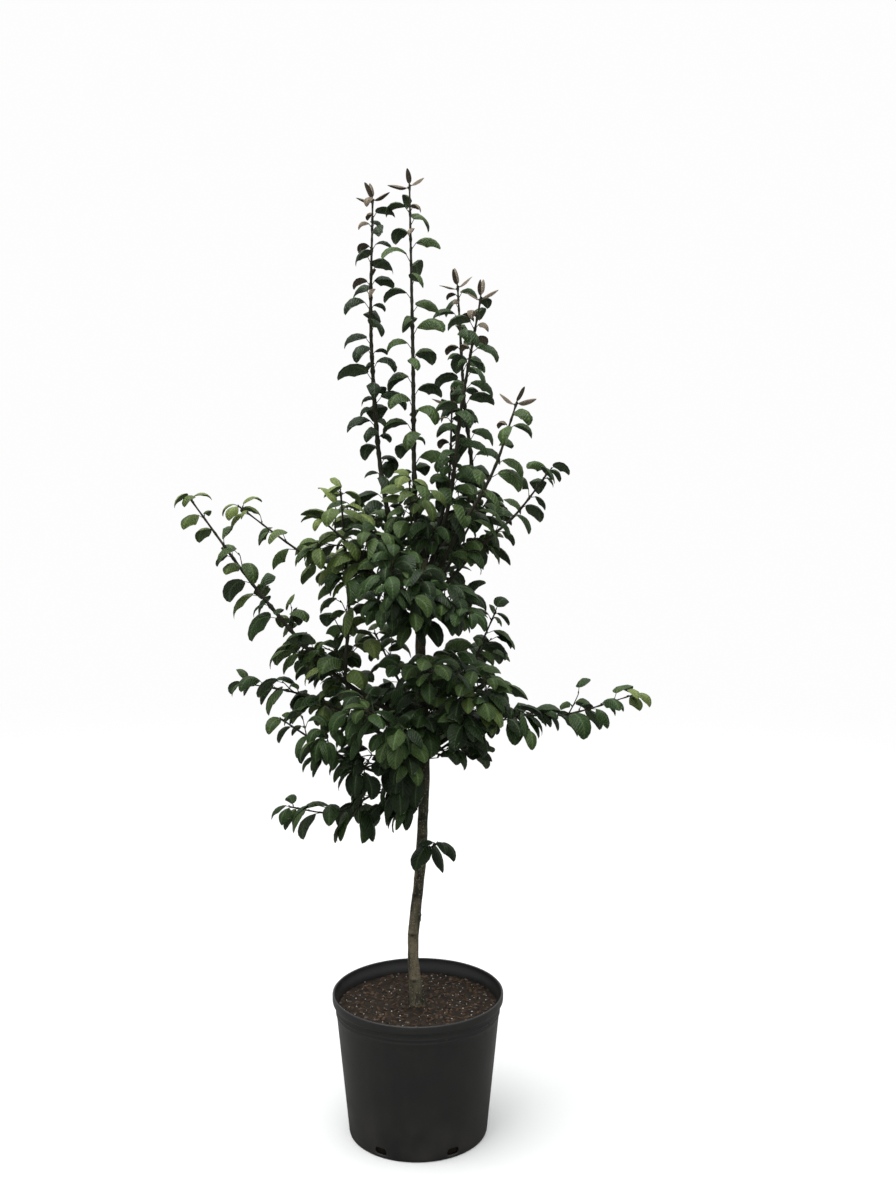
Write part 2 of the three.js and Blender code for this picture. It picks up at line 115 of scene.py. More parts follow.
# Leaves
GOLDEN_TURN = 137.5
LEAF_THICK = 0.7
RIB_HALF = 0.45
RIB_LIFTS = [0, 0, 0.25, 0.25, 0, 0]
LEAF_ROWS = [0.025, 0.09, 0.2, 0.34, 0.5, 0.67, 0.82, 0.94]
LEAF_COLUMNS = 7
OUTLINE_LEAN = 0.79
OUTLINE_FULL = 0.64
STEEPEST_FOOT = -80
STEEPEST_TIP = -112
FACES_OUT = 20
ROLL = 90
CURL_VARIES = 0.2
CREASE = [-0.25, 0.45]
BARE_TWIG = 14
ROSETTE_SIZE = 0.74
STALK_RADII = np.array([1.25, 0.8, 0.8, 0.55]) * 0.95
TUFTS = {
    "bronze": {"count": 4, "stalk": 5, "blade": 36, "width": 0.36, "hang": 0, "curl": 25, "fold": 1.0,
               "lean": 34},
    "green": {"count": 3, "stalk": 9, "blade": 48, "width": 0.6, "hang": 0, "curl": 125, "fold": 0.9,
              "lean": 52},
}
# A spray takes the first colour whose limit its drawn number is under, and the tuft at its end the first
# whose limit its own number is over
SPRAY_TONES = [(0.06, "olive"), (0.33, "mid"), (0.75, "deep"), (math.inf, "dark")]
TUFT_TONES = [(1, "light"), (0.84, "olive"), (0.3, "mid"), (-0.1, "deep"), (-math.inf, "dark")]

# The crown's lower edge rises to the right and to the front, in waves
EDGE_ACROSS = [-60, -5, 30]
EDGE_HEIGHT = [330, 390, 512]
EDGE_FORWARD = 0.24
EDGE_WAVE = 16
EDGE_WAVELENGTH = 78

# How far things keep from others, from their own shoot's, and from limbs
SOURCE_ROOM = {"other": 10, "own": 6, "limb": 3.2}
LEAF_ROOM = {"other": 4.5, "own": 3.5, "limb": 2.0}
TUFT_ROOM = {"other": 3.5, "own": 1.0, "limb": 2.0}
WOOD_STEP = 8
SIDE_TWIG = {"radius": 1.7, "lean": 55, "room": SOURCE_ROOM}
FINE_TWIG = {"radius": 1.2, "lean": 50, "room": LEAF_ROOM}
# Side twigs stand on this span of their stem, in shares of it
SIDE_TWIGS_FROM = 0.14
SIDE_TWIGS_SPAN = 0.62
FINE_REACH = 34
FINE_REACH_VARIES = 18
# What has no room is tried again, this much further round each time
TRIES = 6
TWIG_SWING = 71
LEAF_SWING = 67

# Habits of growth, each in the order of the kinds
KINDS = ("leader", "sprawler", "bush", "skirt", "spur", "sprout")
HABITS = {
    "pitch": (23, 25, 29, 31, 19, 13),  # the wood's length from leaf to leaf
    "pairs": (0.5, 0.35, 0.2, 0.15, 0.3, 0),  # the share of leaves with a smaller one beside them
    "lean": (36, 50, 47, 52, 50, 66),  # of the stalk from the wood
    "lowest": (-0.2, 0.1, 0.1, -0.1, -0.2, -0.85),  # how far down a stalk may point
    "stalk": (20, 19, 17, 17, 17, 12),
    "blade": (76, 72, 67, 65, 62, 66),
    "width": (0.56, 0.64, 0.56, 0.63, 0.64, 0.7),  # as a share of the blade
    "hang": (0, 0, 0, 0, 0, 58),  # of the blade below its stalk's slope
    "curl": (166, 132, 122, 98, 115, 70),  # of the blade down along its length
    "fold": (1.1, 0.95, 0.9, 0.75, 0.9, 0.8),  # of the blade's sides
    "foot": (20, 20, 20, 20, 20, 8),  # the stem's bare length
    "twigs": (0, 1, 3, 3, 1, 0),
    "reach": (0, 55, 66, 64, 50, 0),  # of the side twigs
    "fine": (0, 1, 1, 1, 1, 0),  # finer twigs on each side twig, and twice as many on the stem
    "within": (1, 0.7, 1, 1, 1, 1),  # the share of the stem that bears those
    "on_bough": (2, 0, 0, 0, 0, 0),  # finer twigs on the bough
    "rosette": (2, 1, 3, 3, 2, 0),  # leaves in a ring at a twig's end
    "tuft": ("bronze", "green", "green", "green", "green", "green"),  # at the stem's tip
}
PLAIN_SHOOT = {"light": 0, "shade": 0, "slim": 1, "lift": 0.14, "under": 0}


# Each shoot leaves the trunk at a height and aims out by a compass angle, 0 to the right and 90 to the back.
# Its knee and its tip are (out, up) from there. turn swings the tip on from the aim, and sway and bow move
# the middle of its stem out and up. light is the share of the stem, from its tip, that carries young
# yellow-green leaves. shade makes its leaves darker, as painted shade for shoots that hang in the shade of
# the crown, and slim its stem thinner. lift is how its side twigs bend up, or down where it is less than
# nothing. Nothing of it grows lower than under. The rest differs from its kind's habits.
def shoot(at, aim, knee, tip, turn=0, sway=0, bow=0, **rest):
    return {"at": at, "aim": aim, "knee": knee, "tip": tip, "turn": turn, "sway": sway, "bow": bow, **rest}


SHOOTS = {
    "leader": {
        "central_leader": shoot(930, 180, (15, 100), (28, 737), -20),
        "left_leader": shoot(868, 167, (66, 140), (101, 775), -4, 20, 15),
        "right_leader": shoot(876, 334, (57, 160), (125, 570), 3, -5),
        "back_right_leader": shoot(898, 30, (108, 155), (125, 585), 26),
        "right_upper": shoot(850, 321, (95, 142), (209, 394), 11, 12, -9),
        "inner_right_leader": shoot(912, 10, None, (66, 335), 18, 18, -20),
    },
    "sprawler": {
        "far_right_upper": shoot(822, 355, (115, 135), (258, 290), 5, 0, -14, twigs=0, fine=0, slim=0.85),
        "left_upper": shoot(790, 188, (138, 94), (358, 250), -3, 0, -6, light=0.75, twigs=0, fine=0,
            curl=145, lean=42, pitch=28, slim=0.8),
        "left_sprout": shoot(562, 190, (148, 92), (171, 509), 9, -5, -20, light=0.95, fine=3),
        "far_left": shoot(582, 180, (185, 120), (474, 474), -3, -8, -30, light=0.5, fine=2, curl=145,
            lean=42, pitch=34, pairs=0.25),
        "left_low": shoot(514, 171, (150, 92), (376, 160), 3, -6, 12, slim=0.8),
        "left_bottom": shoot(462, 180, (88, -8), (273, -34), 4, 5, -27, shade=0.3, lift=-0.1, lowest=-0.3,
            on_bough=2, slim=0.75),
        "far_right": shoot(536, 351, (128, 78), (424, 130), 3, 8, -17, light=0.2, shade=0.25, pairs=0.9,
            blade=68, width=0.68, slim=0.7),
        "right_middle": shoot(592, 14, (80, 56), (149, 233), -3, 0, 9, slim=0.85),
    },
    "bush": {
        "left_inner": shoot(830, 212, (90, 62), (215, 190), -5, 0, 8, light=0.65),
        "front_upper": shoot(826, 252, (70, 30), (190, 58), 4, 0, 14, under=815, fine=2, shade=0.3),
        "back_left_upper": shoot(836, 135, (85, 55), (205, 190), 5, 0, 10),
        "back_upper": shoot(812, 90, (85, 50), (225, 150), -4, 0, 12),
        "back_right_upper": shoot(858, 52, (80, 50), (200, 190), -6, 0, 10),
        "back_left_low": shoot(544, 146, (100, 55), (285, 150), 4, 0, 12, twigs=2),
        "back_right_low": shoot(552, 55, (90, 55), (245, 165), 5, 0, 12),
    },
    "skirt": {
        "left_low_front": shoot(486, 199, (110, 22), (292, 137), -3, 10, twigs=2, curl=150, lowest=0.1,
            rosette=2, width=0.52, fold=1.05),
        "front_left_low": shoot(530, 240, (75, 40), (214, 131), 0, 0, 8, shade=0.2),
        "front_right_upper": shoot(796, 305, None, (180, 48), -3, 0, 20, under=755, shade=0.45),
        "right_front_low": shoot(570, 315, (75, 50), (172, 139), 1, 0, 6, lift=0.4),
        "back_low": shoot(508, 100, (90, 48), (255, 120), -8, 0, 12),
        "front_low": shoot(556, 274, None, (165, 188), 1, 0, 6, lift=0.5),
        "front_bottom": shoot(482, 262, None, (150, 66), -4, 0, 14, shade=0.6, lift=-0.4, hang=12,
            lowest=-0.6, width=0.72, twigs=2, rosette=2),
        "right_bottom": shoot(520, 322, None, (190, 108), 4, 0, 12, shade=0.5, hang=12, lowest=-0.6,
            width=0.72),
        "front_left_bottom": shoot(504, 220, None, (165, 20), -4, 0, 16, shade=0.6, lift=-0.5, hang=12,
            lowest=-0.6, width=0.72, twigs=3, rosette=2, pitch=24),
    },
    "spur": {
        # front_leader's many young leaves are partly painted light, for leaves lit through at the front of
        # the crown
        "front_leader": shoot(884, 240, None, (74, 212), 11, 14, light=0.6),
        "left_back_middle": shoot(604, 141, None, (131, 168), 1, 0, -10),
    },
    "sprout": {
        "trunk_sprout": shoot(323, 318, None, (44, 32), shade=0.6),
    },
}


# Vectors and lines


def unit(vector):
    return vector / np.linalg.norm(vector)


def compass(degrees):
    return np.array([math.cos(math.radians(degrees)), math.sin(math.radians(degrees)), 0.0])


def leaning_out(direction, turn, lean):
    """The way out of a line at a turn round it, leaning from the line's own direction."""
    first = unit(np.cross(direction, SIDEWAYS if abs(direction[2]) > 0.9 else UP))
    second = np.cross(direction, first)
    turn, lean = math.radians(turn), math.radians(lean)
    sideways = first * math.cos(turn) + second * math.sin(turn)
    return sideways * math.sin(lean) + direction * math.cos(lean)


def seeded(seed):
    """Repeatable random numbers from 0 to 1, each worked out from the one before."""
    state = ((seed + 1) * 2654435761) & 0xFFFFFFFF

    def draw():
        nonlocal state
        state = (state * 1664525 + 1013904223) & 0xFFFFFFFF
        return state / 2**32

    return draw


def curve_point(points, share):
    """The place at a share of a smooth curve through the points, whose knots are spaced by distance."""
    last = len(points) - 1
    i = min(int(share * last), last - 1)
    weight = share * last - i
    before = points[i - 1] if i > 0 else 2 * points[0] - points[1]
    after = points[i + 2] if i + 2 <= last else 2 * points[last] - points[last - 1]
    one, two = points[i], points[i + 1]
    steps = (one - before, two - one, after - two)
    gap0, gap1, gap2 = (math.sqrt(np.linalg.norm(step)) for step in steps)
    pull1 = ((one - before) / gap0 - (two - before) / (gap0 + gap1) + (two - one) / gap1) * gap1
    pull2 = ((two - one) / gap1 - (after - one) / (gap1 + gap2) + (after - two) / gap2) * gap1
    cubic = 2 * one - 2 * two + pull1 + pull2
    square = 3 * two - 3 * one - 2 * pull1 - pull2
    return one + weight * (pull1 + weight * (square + weight * cubic))


def curve_line(points, first, last, step):
    """Places along the curve from one share to another, about a step apart."""
    points = [np.asarray(point, float) for point in points]
    rough = [curve_point(points, share) for share in np.linspace(first, last, 9)]
    count = max(2, round(line_length(rough) / step))
    return np.array([curve_point(points, share) for share in np.linspace(first, last, count + 1)])


def line_length(points):
    return float(np.linalg.norm(np.diff(points, axis=0), axis=1).sum())


def along(points, distance):
    """The place at a distance along a line, with the line's direction there."""
    lengths = np.linalg.norm(np.diff(points, axis=0), axis=1)
    i = int(min(np.searchsorted(np.cumsum(lengths), distance), len(lengths) - 1))
    direction = (points[i + 1] - points[i]) / lengths[i]
    return points[i] + direction * (distance - lengths[:i].sum()), direction


def spaced(points, step):
    count = math.ceil(line_length(points) / step)
    return np.array([along(points, line_length(points) * i / count)[0] for i in range(count + 1)])


# Growth

trunk_course = curve_line([[lean, 0, MIX_LEVEL + height] for height, lean in TRUNK_LINE], 0, 1, 2)


def trunk_point(height):
    return np.array([np.interp(MIX_LEVEL + height, trunk_course[:, 2], places) for places in trunk_course.T])


def flare_at(height):
    return FLARE * math.exp(-max(height, 0) / FLARE_FADE)


def trunk_radius(height):
    return TRUNK_FOOT + (TRUNK_HEAD - TRUNK_FOOT) * height / TRUNK_TOP + flare_at(height)


class Room:
    """Where limbs, twigs and leaves are already, so that what grows next keeps clear of them."""

    def __init__(self):
        self.limbs = []
        self.points = np.zeros((0, 3))
        self.owners = np.zeros(0, int)
        self.woody = np.zeros(0, bool)

    def settle(self, points, owner, wood):
        self.points = np.vstack([self.points, points])
        self.owners = np.append(self.owners, np.full(len(points), owner))
        self.woody = np.append(self.woody, np.full(len(points), wood))

    def is_free(self, points, owner, clear):
        starts, ends, radii = (np.array(part) for part in zip(*self.limbs))
        spans = ends - starts
        offset = points[:, None] - starts
        share = np.clip((offset * spans).sum(2) / (spans**2).sum(1), 0, 1)
        if (np.linalg.norm(offset - share[:, :, None] * spans, axis=2) <= radii + clear["limb"]).any():
            return False
        low, high = points.min(0) - clear["other"], points.max(0) + clear["other"]
        near = ((self.points > low) & (self.points < high)).all(1)
        near &= ~((self.owners == owner) & self.woody)
        gaps = np.linalg.norm(points[:, None] - self.points[near], axis=2)
        return not (gaps <= np.where(self.owners[near] == owner, clear["own"], clear["other"])).any()

    def take(self, samples, plant, clear, wood):
        """Takes the room for a twig or a leaf of a plant, where it is free and inside the crown."""
        if not (within_crown(samples, plant) and self.is_free(samples, plant["owner"], clear)):
            return False
        self.settle(samples, plant["owner"], wood)
        return True


def within_crown(samples, plant):
    """True where a twig or a leaf is inside the part's reach and above the crown's lower edge."""
    if (samples < REACH_LOW - 2).any() or (samples > REACH_HIGH + 2).any():
        return False
    if plant["kind"] == "sprout":
        return True
    edge = np.interp(samples[:, 0], EDGE_ACROSS, EDGE_HEIGHT) - EDGE_FORWARD * samples[:, 1]
    edge += EDGE_WAVE * np.sin(FULL_TURN * (samples[:, 0] + 0.6 * samples[:, 1]) / EDGE_WAVELENGTH)
    return bool((samples[:, 2] - MIX_LEVEL > np.maximum(edge, plant["under"])).all())


def shoot_lines(shoot):
    """A shoot's bough, from the trunk to the knee, and its stem, from there to the tip."""
    start = trunk_point(shoot["at"])
    aim, knee = shoot["aim"], shoot["knee"]

    def offset(angle, out, up):
        return compass(angle) * out + UP * up

    tip = start + offset(aim + shoot["turn"], *shoot["tip"])
    foot = [start, start + offset(aim, *knee)] if knee else [start]
    middle = (foot[-1] + tip) / 2 + offset(aim, shoot["sway"], shoot["bow"])
    points = [*foot, middle, tip]
    knee_at = (len(foot) - 1) / (len(foot) + 1)
    bough = curve_line(points, 0, knee_at, LINE_STEP) if knee else None
    return bough, curve_line(points, knee_at, 1, LINE_STEP)


def add_twig(plant, room, wood, distance, turn, reach, kind):
    """A twig leans out from its wood and then bends upward, or droops where its shoot is a low one."""
    place, direction = along(wood, distance)
    for attempt in range(TRIES):
        way = leaning_out(direction, turn + attempt * TWIG_SWING, kind["lean"])
        points = [place]
        for _ in range(TWIG_STEPS):
            way = unit(way + UP * plant["lift"])
            points.append(points[-1] + way * reach / TWIG_STEPS)
        line = curve_line(points, 0, 1, LINE_STEP)
        if room.take(spaced(line, WOOD_STEP)[2:], plant, kind["room"], True):
            plant["side_wood"].append({"line": line, "radius": kind["radius"]})
            return


def grow_side_twigs(plant, room):
    """Side twigs up the stem, each shorter than the one before."""
    random = plant["random"]
    for i in range(plant["twigs"]):
        share = SIDE_TWIGS_FROM + SIDE_TWIGS_SPAN * i / plant["twigs"]
        reach = plant["reach"] * (1.15 - 0.5 * share) * (0.85 + 0.3 * random())
        turn = i * GOLDEN_TURN + 90 * random()
        distance = max(line_length(plant["stem"]) * share, plant["foot"])
        add_twig(plant, room, plant["stem"], distance, turn, reach, SIDE_TWIG)


def grow_fine_twigs(plant, room):
    """Finer twigs between the side twigs, on each of them, and on some boughs."""
    random, bough = plant["random"], plant["bough"]
    woods = [(plant["stem"], 2 * plant["fine"], plant["within"])]
    woods += [(twig["line"], plant["fine"], 1) for twig in plant["side_wood"]]
    if plant["on_bough"] and bough is not None:
        woods.append((bough[len(bough) // 3 :], plant["on_bough"], 1))
    for line, count, within in woods:
        length = line_length(line)
        for i in range(count):
            share = (i + 0.6 + 0.3 * random()) / (count + 0.4) * within
            reach = FINE_REACH + FINE_REACH_VARIES * random()
            turn = (i + 0.5) * GOLDEN_TURN + 120 * random()
            add_twig(plant, room, line, length * share, turn, reach, FINE_TWIG)


def turned_up(out, lowest):
    """A stalk from the underside of its wood bends up, to no steeper than lowest."""
    level = math.hypot(out[0], out[1])
    if out[2] >= lowest or level < 0.1:
        return out
    widened = math.sqrt(1 - lowest**2) / level
    return np.array([out[0] * widened, out[1] * widened, lowest])


def make_leaf(root, out, form, roll, random):
    """A leaf's stalk runs straight out, and its blade bends down from rise in the stalk's upright plane."""
    level = math.hypot(out[0], out[1])
    heading = np.array([out[0] / level, out[1] / level, 0.0])
    roll += FACES_OUT * np.cross(UP, heading).dot(unit(root - trunk_point(root[2] - MIX_LEVEL)))
    rise = max(math.asin(out[2]) - math.radians(form["hang"]), math.radians(STEEPEST_FOOT))
    curl = form["curl"] * (1 - CURL_VARIES + 2 * CURL_VARIES * random())
    fall = max(rise - math.radians(curl), math.radians(STEEPEST_TIP))
    return {
        "root": root, "out": out, "stalk": form["stalk"], "blade": form["blade"],
        "half": form["blade"] * form["width"] * (0.43 + 0.14 * random()), "rise": rise,
        "bend": min(fall - rise, -1e-3), "heading": heading, "roll": math.radians(roll),
        "fold": form["fold"] * (0.7 + 0.6 * random()), "wave": FULL_TURN * random(),
        "crease": CREASE[0] + (CREASE[1] - CREASE[0]) * random(), "tone": random(),
    }


def on_blades(leaves, s, aside, lift=0.0):
    """Places on blades, s along each, aside from its midrib and lifted off its face, in millimetres."""
    rise, bend, roll, half, fold = (leaves[key] for key in ("rise", "bend", "roll", "half", "fold"))
    heading, blade = leaves["heading"], leaves["blade"]
    slope = rise + bend * s
    forward = (np.sin(slope) - np.sin(rise)) / bend * blade
    upward = (np.cos(rise) - np.cos(slope)) / bend * blade
    direction = heading * np.cos(slope) + UP * np.sin(slope)
    level = np.cross(heading, UP)
    side = level * np.cos(roll) + np.cross(level, direction) * np.sin(roll)
    arc = half / fold
    turn = aside / arc
    ripple = 0.05 * half * np.sin(9 * s + leaves["wave"] + np.sign(turn)) * (turn / fold) ** 2
    drop = (1 - np.cos(turn)) * arc + leaves["crease"] * np.abs(np.sin(turn)) * arc
    place = leaves["root"] + leaves["out"] * leaves["stalk"] + heading * forward + UP * upward
    return place + side * (np.sin(turn) * arc) + np.cross(side, direction) * (lift + ripple - drop)


def outline(s):
    """Half the blade's width at s, as a share of its half width where it is widest."""
    return math.sin(math.pi * s**OUTLINE_LEAN) ** OUTLINE_FULL


def as_table(leaves):
    """Leaves as a table of upright columns, one row for each leaf."""
    keys = [key for key in leaves[0] if key != "tint"]
    return {key: np.array([leaf[key] for leaf in leaves]).reshape(len(leaves), -1) for key in keys}


def leaf_samples(leaf):
    one = as_table([leaf])
    samples = [leaf["root"] + leaf["out"] * leaf["stalk"] * share for share in (0.5, 0.8)]
    for s in (0.12, 0.32, 0.55, 0.78):
        edge = outline(s) * leaf["half"]
        samples += [on_blades(one, s, aside)[0] for aside in (-0.9 * edge, 0.0, 0.9 * edge)]
    samples.append(on_blades(one, 1.0, 0.0)[0])
    return np.array(samples)


def tint_of(plant, share, spray_tone):
    """A leaf's colour is dealt out by spray, and the young end of some stems is mostly lighter."""
    light = plant["light"]
    chance = plant["random"]() if light else 0
    if share > 1 - light * 0.4:
        return "light" if chance < 0.6 else "olive"
    return ("olive" if chance < 0.6 else "mid") if share > 1 - light else spray_tone


def grow_leaves(plant, room, wood, bare_foot, is_stem):
    """Leaves along one piece of wood at the golden turn, with a tuft or a rosette at its end."""
    random = plant["random"]
    length = line_length(wood)
    # shade lowers this, so shoots that hang in the crown's shade get more deep and dark tints: painted shade
    youth_less_shade = 0.5 * plant["light"] - plant["shade"]
    tone = random() - youth_less_shade
    spray_tone = next(tint for limit, tint in SPRAY_TONES if tone < limit)
    has_bronze = is_stem and plant["tuft"] == "bronze"
    tuft = TUFTS["bronze" if has_bronze else "green"]

    def place(distance, turn, form, size, tint, clear):
        grown = {**form, "hang": form["hang"] * (1.4 - distance / length), "stalk": form["stalk"] * size,
                 "blade": form["blade"] * size}
        lean, roll = form["lean"] + 12 * (random() - 0.5), ROLL * (random() - 0.5)
        root, direction = along(wood, distance)
        for attempt in range(TRIES):
            out = turned_up(leaning_out(direction, turn + attempt * LEAF_SWING, lean), plant["lowest"])
            leaf = make_leaf(root, out, grown, roll, random)
            if room.take(leaf_samples(leaf), plant, clear, False):
                plant["leaves"].append({**leaf, "tint": tint})
                plant["nodes"].append((root, out))
                return

    fresh_less_shade = random() + youth_less_shade
    tuft_tone = next(tint for limit, tint in TUFT_TONES if fresh_less_shade > limit)
    if has_bronze:
        tuft_tone = "bronze"
    elif is_stem and plant["light"]:
        tuft_tone = "light"
    for i in range(tuft["count"] if is_stem else plant["rosette"]):
        size = 0.8 + 0.35 * random() if is_stem else ROSETTE_SIZE + 0.2 * random()
        lean = tuft["lean"] * (0.35 + 0.5 * i) if is_stem else 34 + 15 * i
        form = {**(tuft if is_stem else plant), "lean": lean}
        tint = spray_tone if i and not is_stem else tuft_tone
        place(length - 0.5 - 3 * i, i * GOLDEN_TURN + 40 * random(), form, size, tint, TUFT_ROOM)
    turn = 360 * random()
    distance = bare_foot
    while distance < length - BARE_TWIG:
        share = distance / length
        tint = tint_of(plant, share, spray_tone) if is_stem else spray_tone
        for i in range(2 if random() < plant["pairs"] else 1):
            size = (1 - 0.35 * share**4) * (0.86 + 0.26 * random()) * (1 - 0.42 * i)
            is_bronze = has_bronze and share > (0.68 if i else 0.97)
            place(distance + 2 * i, turn, plant, size, "bronze" if is_bronze else tint, LEAF_ROOM)
            turn += GOLDEN_TURN
        distance += plant["pitch"] * (0.85 + 0.3 * random())


def grow_tree():
    """All the plants: every stem first, then the side twigs, the finer ones, and the leaves of each."""
    room = Room()
    heights = np.linspace(0, TRUNK_TOP, 25)
    for low, high in zip(heights, heights[1:]):
        room.limbs.append((trunk_point(low), trunk_point(high), trunk_radius(low)))
    plants = []
    for kind, shoots in SHOOTS.items():
        habit = {field: row[KINDS.index(kind)] for field, row in HABITS.items()}
        for name, shoot in shoots.items():
            plant = {**PLAIN_SHOOT, **habit, **shoot, "name": name, "kind": kind, "owner": len(plants),
                     "random": seeded(len(plants)), "side_wood": [], "leaves": [], "nodes": []}
            plant["thick"] = THIN + THICKEN * math.hypot(*shoot["tip"])
            plant["bough"], plant["stem"] = shoot_lines(plant)
            plants.append(plant)
    for plant in plants:
        if plant["knee"]:
            coarse = plant["bough"][:: max(1, len(plant["bough"]) // 4)]
            thick = plant["thick"] * BOUGH_SWELL
            room.limbs += [(start, end, thick) for start, end in zip(coarse, coarse[1:])]
        room.settle(spaced(plant["stem"], WOOD_STEP), plant["owner"], True)
    for plant in plants:
        grow_side_twigs(plant, room)
    for plant in plants:
        grow_fine_twigs(plant, room)
    for plant in plants:
        grow_leaves(plant, room, plant["stem"], plant["foot"], True)
        leafy = []
        for twig in plant["side_wood"]:
            so_far = len(plant["leaves"])
            grow_leaves(plant, room, twig["line"], BARE_TWIG, False)
            if twig["radius"] == SIDE_TWIG["radius"] or len(plant["leaves"]) > so_far:
                leafy.append(twig)
        plant["side_wood"] = leafy
    return plants


# Node trees

NODE_PREFIXES = ("ShaderNode", "GeometryNode", "FunctionNode", "")
SOCKET_KINDS = {float: "Float", int: "Int", tuple: "Vector"}


class Nodes:
    """A node tree under construction."""

    def __init__(self, tree):
        self.tree = tree

    def put(self, value, socket):
        """Links another node's output to a socket, or sets a value. A colour is given without its alpha."""
        if isinstance(value, bpy.types.NodeSocket):
            self.tree.links.new(value, socket)
        else:
            socket.default_value = (*value, 1.0) if socket.type == "RGBA" else value

    def add(self, kind, inputs=None, output=0, **settings):
        """Adds a node, whose kind may be given without its prefix, and gives back one of its outputs."""
        prefixes = (prefix for prefix in NODE_PREFIXES if hasattr(bpy.types, prefix + kind))
        node = self.tree.nodes.new(next(prefixes) + kind)
        for name, value in settings.items():
            setattr(node, name, value)
        for label, value in (inputs or {}).items():
            self.put(value, node.inputs[label])
        return node.outputs[output]

    def math(self, operation, first, second=0.5):
        return self.add("Math", {0: first, 1: second}, operation=operation)

    def vector(self, x, y, z):
        return self.add("CombineXYZ", {"X": x, "Y": y, "Z": z})

    def parts(self, vector):
        return self.add("SeparateXYZ", {0: vector}).node.outputs

    def product(self, first, second):
        return self.add("VectorMath", {0: first, 1: second}, operation="MULTIPLY")

    def spread(self, value, low, high):
        """How far a value is from low to high, from 0 to 1."""
        return self.add("MapRange", {"Value": value, "From Min": low, "From Max": high})

    def between(self, share, low, high):
        return self.add("MapRange", {"Value": share, "To Min": low, "To Max": high})

    def instanced(self, points, shape, rotation, scale):
        """The shape on each point, turned and sized."""
        inputs = {"Points": points, "Instance": shape, "Rotation": rotation, "Scale": scale}
        return self.add("InstanceOnPoints", inputs)

    def roughened(self, shape, height, grain, draw_out):
        inputs = {"Geometry": shape, "Height": height, "Grain": grain, "Draw Out": draw_out}
        return self.add("GeometryNodeGroup", inputs, node_tree=surface_relief)

    def dressed(self, shape, material):
        """Ends a shape: real geometry, smooth, with its material."""
        real = self.add("RealizeInstances", {"Geometry": shape})
        smooth = self.add("SetShadeSmooth", {"Geometry": real, "Shade Smooth": True})
        return self.add("SetMaterial", {"Geometry": smooth, "Material": material})


def labelled(values):
    return {name.replace("_", " ").title(): value for name, value in values.items()}


def node_group(build, name, kind, taken, given, given_kind, values):
    """A node group that a function builds. The values are its named inputs, in the function's order."""
    made = Nodes(bpy.data.node_groups.new(name, kind))
    inputs = {taken: None, **labelled(values)}
    for label, default in inputs.items():
        socket_kind = "NodeSocket" + SOCKET_KINDS.get(type(default), label)
        socket = made.tree.interface.new_socket(label, in_out="INPUT", socket_type=socket_kind)
        if default is not None:
            socket.default_value = default
    made.tree.interface.new_socket(given, in_out="OUTPUT", socket_type="NodeSocket" + given_kind)
    sources = made.tree.nodes.new("NodeGroupInput").outputs[: len(inputs)]
    made.put(build(made, *sources), made.tree.nodes.new("NodeGroupOutput").inputs[0])
    return made.tree


def mask_group(name, **values):
    return lambda build: node_group(build, name, "ShaderNodeTree", "Vector", "Fac", "Float", values)


def shape_group(name, **values):
    return lambda build: node_group(build, name, "GeometryNodeTree", *["Geometry"] * 3, values)


@shape_group("surface relief", height=0.0005, grain=90.0, draw_out=0.4)
def surface_relief(made, shape, height, grain, draw_out):
    """Moves a surface in and out by a noise that is drawn out along Z."""
    place = made.product(made.add("InputPosition"), made.vector(1.0, 1.0, draw_out))
    noise = made.add("TexNoise", {"Vector": place, "Scale": grain, "Detail": 3.0, "Roughness": 0.6})
    depth = made.math("MULTIPLY", made.math("SUBTRACT", noise, 0.5), height)
    offset = made.add("VectorMath", {0: made.add("InputNormal"), "Scale": depth}, operation="SCALE")
    return made.add("SetPosition", {"Geometry": shape, "Offset": offset})


@shape_group("bark over a limb", height=0.001, grain=90.0, draw_out=0.4, material=None)
def bark_over_a_limb(made, limb, height, grain, draw_out, material):
    """Bark relief over a limb that is a mesh already."""
    return made.dressed(made.roughened(limb, height, grain, draw_out), material)


@shape_group("wood along lines", sides=8, height=0.0003, grain=200.0, draw_out=0.5, material=None)
def wood_along_lines(made, lines, sides, height, grain, draw_out, material):
    """Round wood along lines, as thick at each place as the lines say."""
    curves = made.add("MeshToCurve", {"Mesh": lines})
    radius = made.add("InputNamedAttribute", {"Name": "radius_here"}, data_type="FLOAT")
    round_end = made.add("CurvePrimitiveCircle", {"Resolution": sides, "Radius": 1.0})
    tube = made.add("CurveToMesh",
                    {"Curve": curves, "Profile Curve": round_end, "Scale": radius, "Fill Caps": True})
    return made.dressed(made.roughened(tube, height, grain, draw_out), material)


@shape_group("buds on points", length=0.004, width=0.0022, material=None)
def buds_on_points(made, places, length, width, material):
    """A pointed bud on each point, turned along the point's own way."""
    points = made.add("MeshToPoints", {"Mesh": places})
    way = made.add("InputNamedAttribute", {"Name": "way"}, data_type="FLOAT_VECTOR")
    turned = made.add("AlignRotationToVector", {"Vector": way}, axis="Z")
    ball = made.add("MeshIcoSphere", {"Radius": 0.5, "Subdivisions": 2})
    position = made.add("InputPosition")
    narrow = made.math("SUBTRACT", 1.0, made.math("MAXIMUM", made.parts(position)["Z"], 0.0))
    pointed = made.product(position, made.vector(narrow, narrow, 1.0))
    bud = made.add("SetPosition", {"Geometry": ball, "Position": pointed})
    size = made.vector(width, width, length)
    return made.dressed(made.instanced(points, bud, turned, size), material)


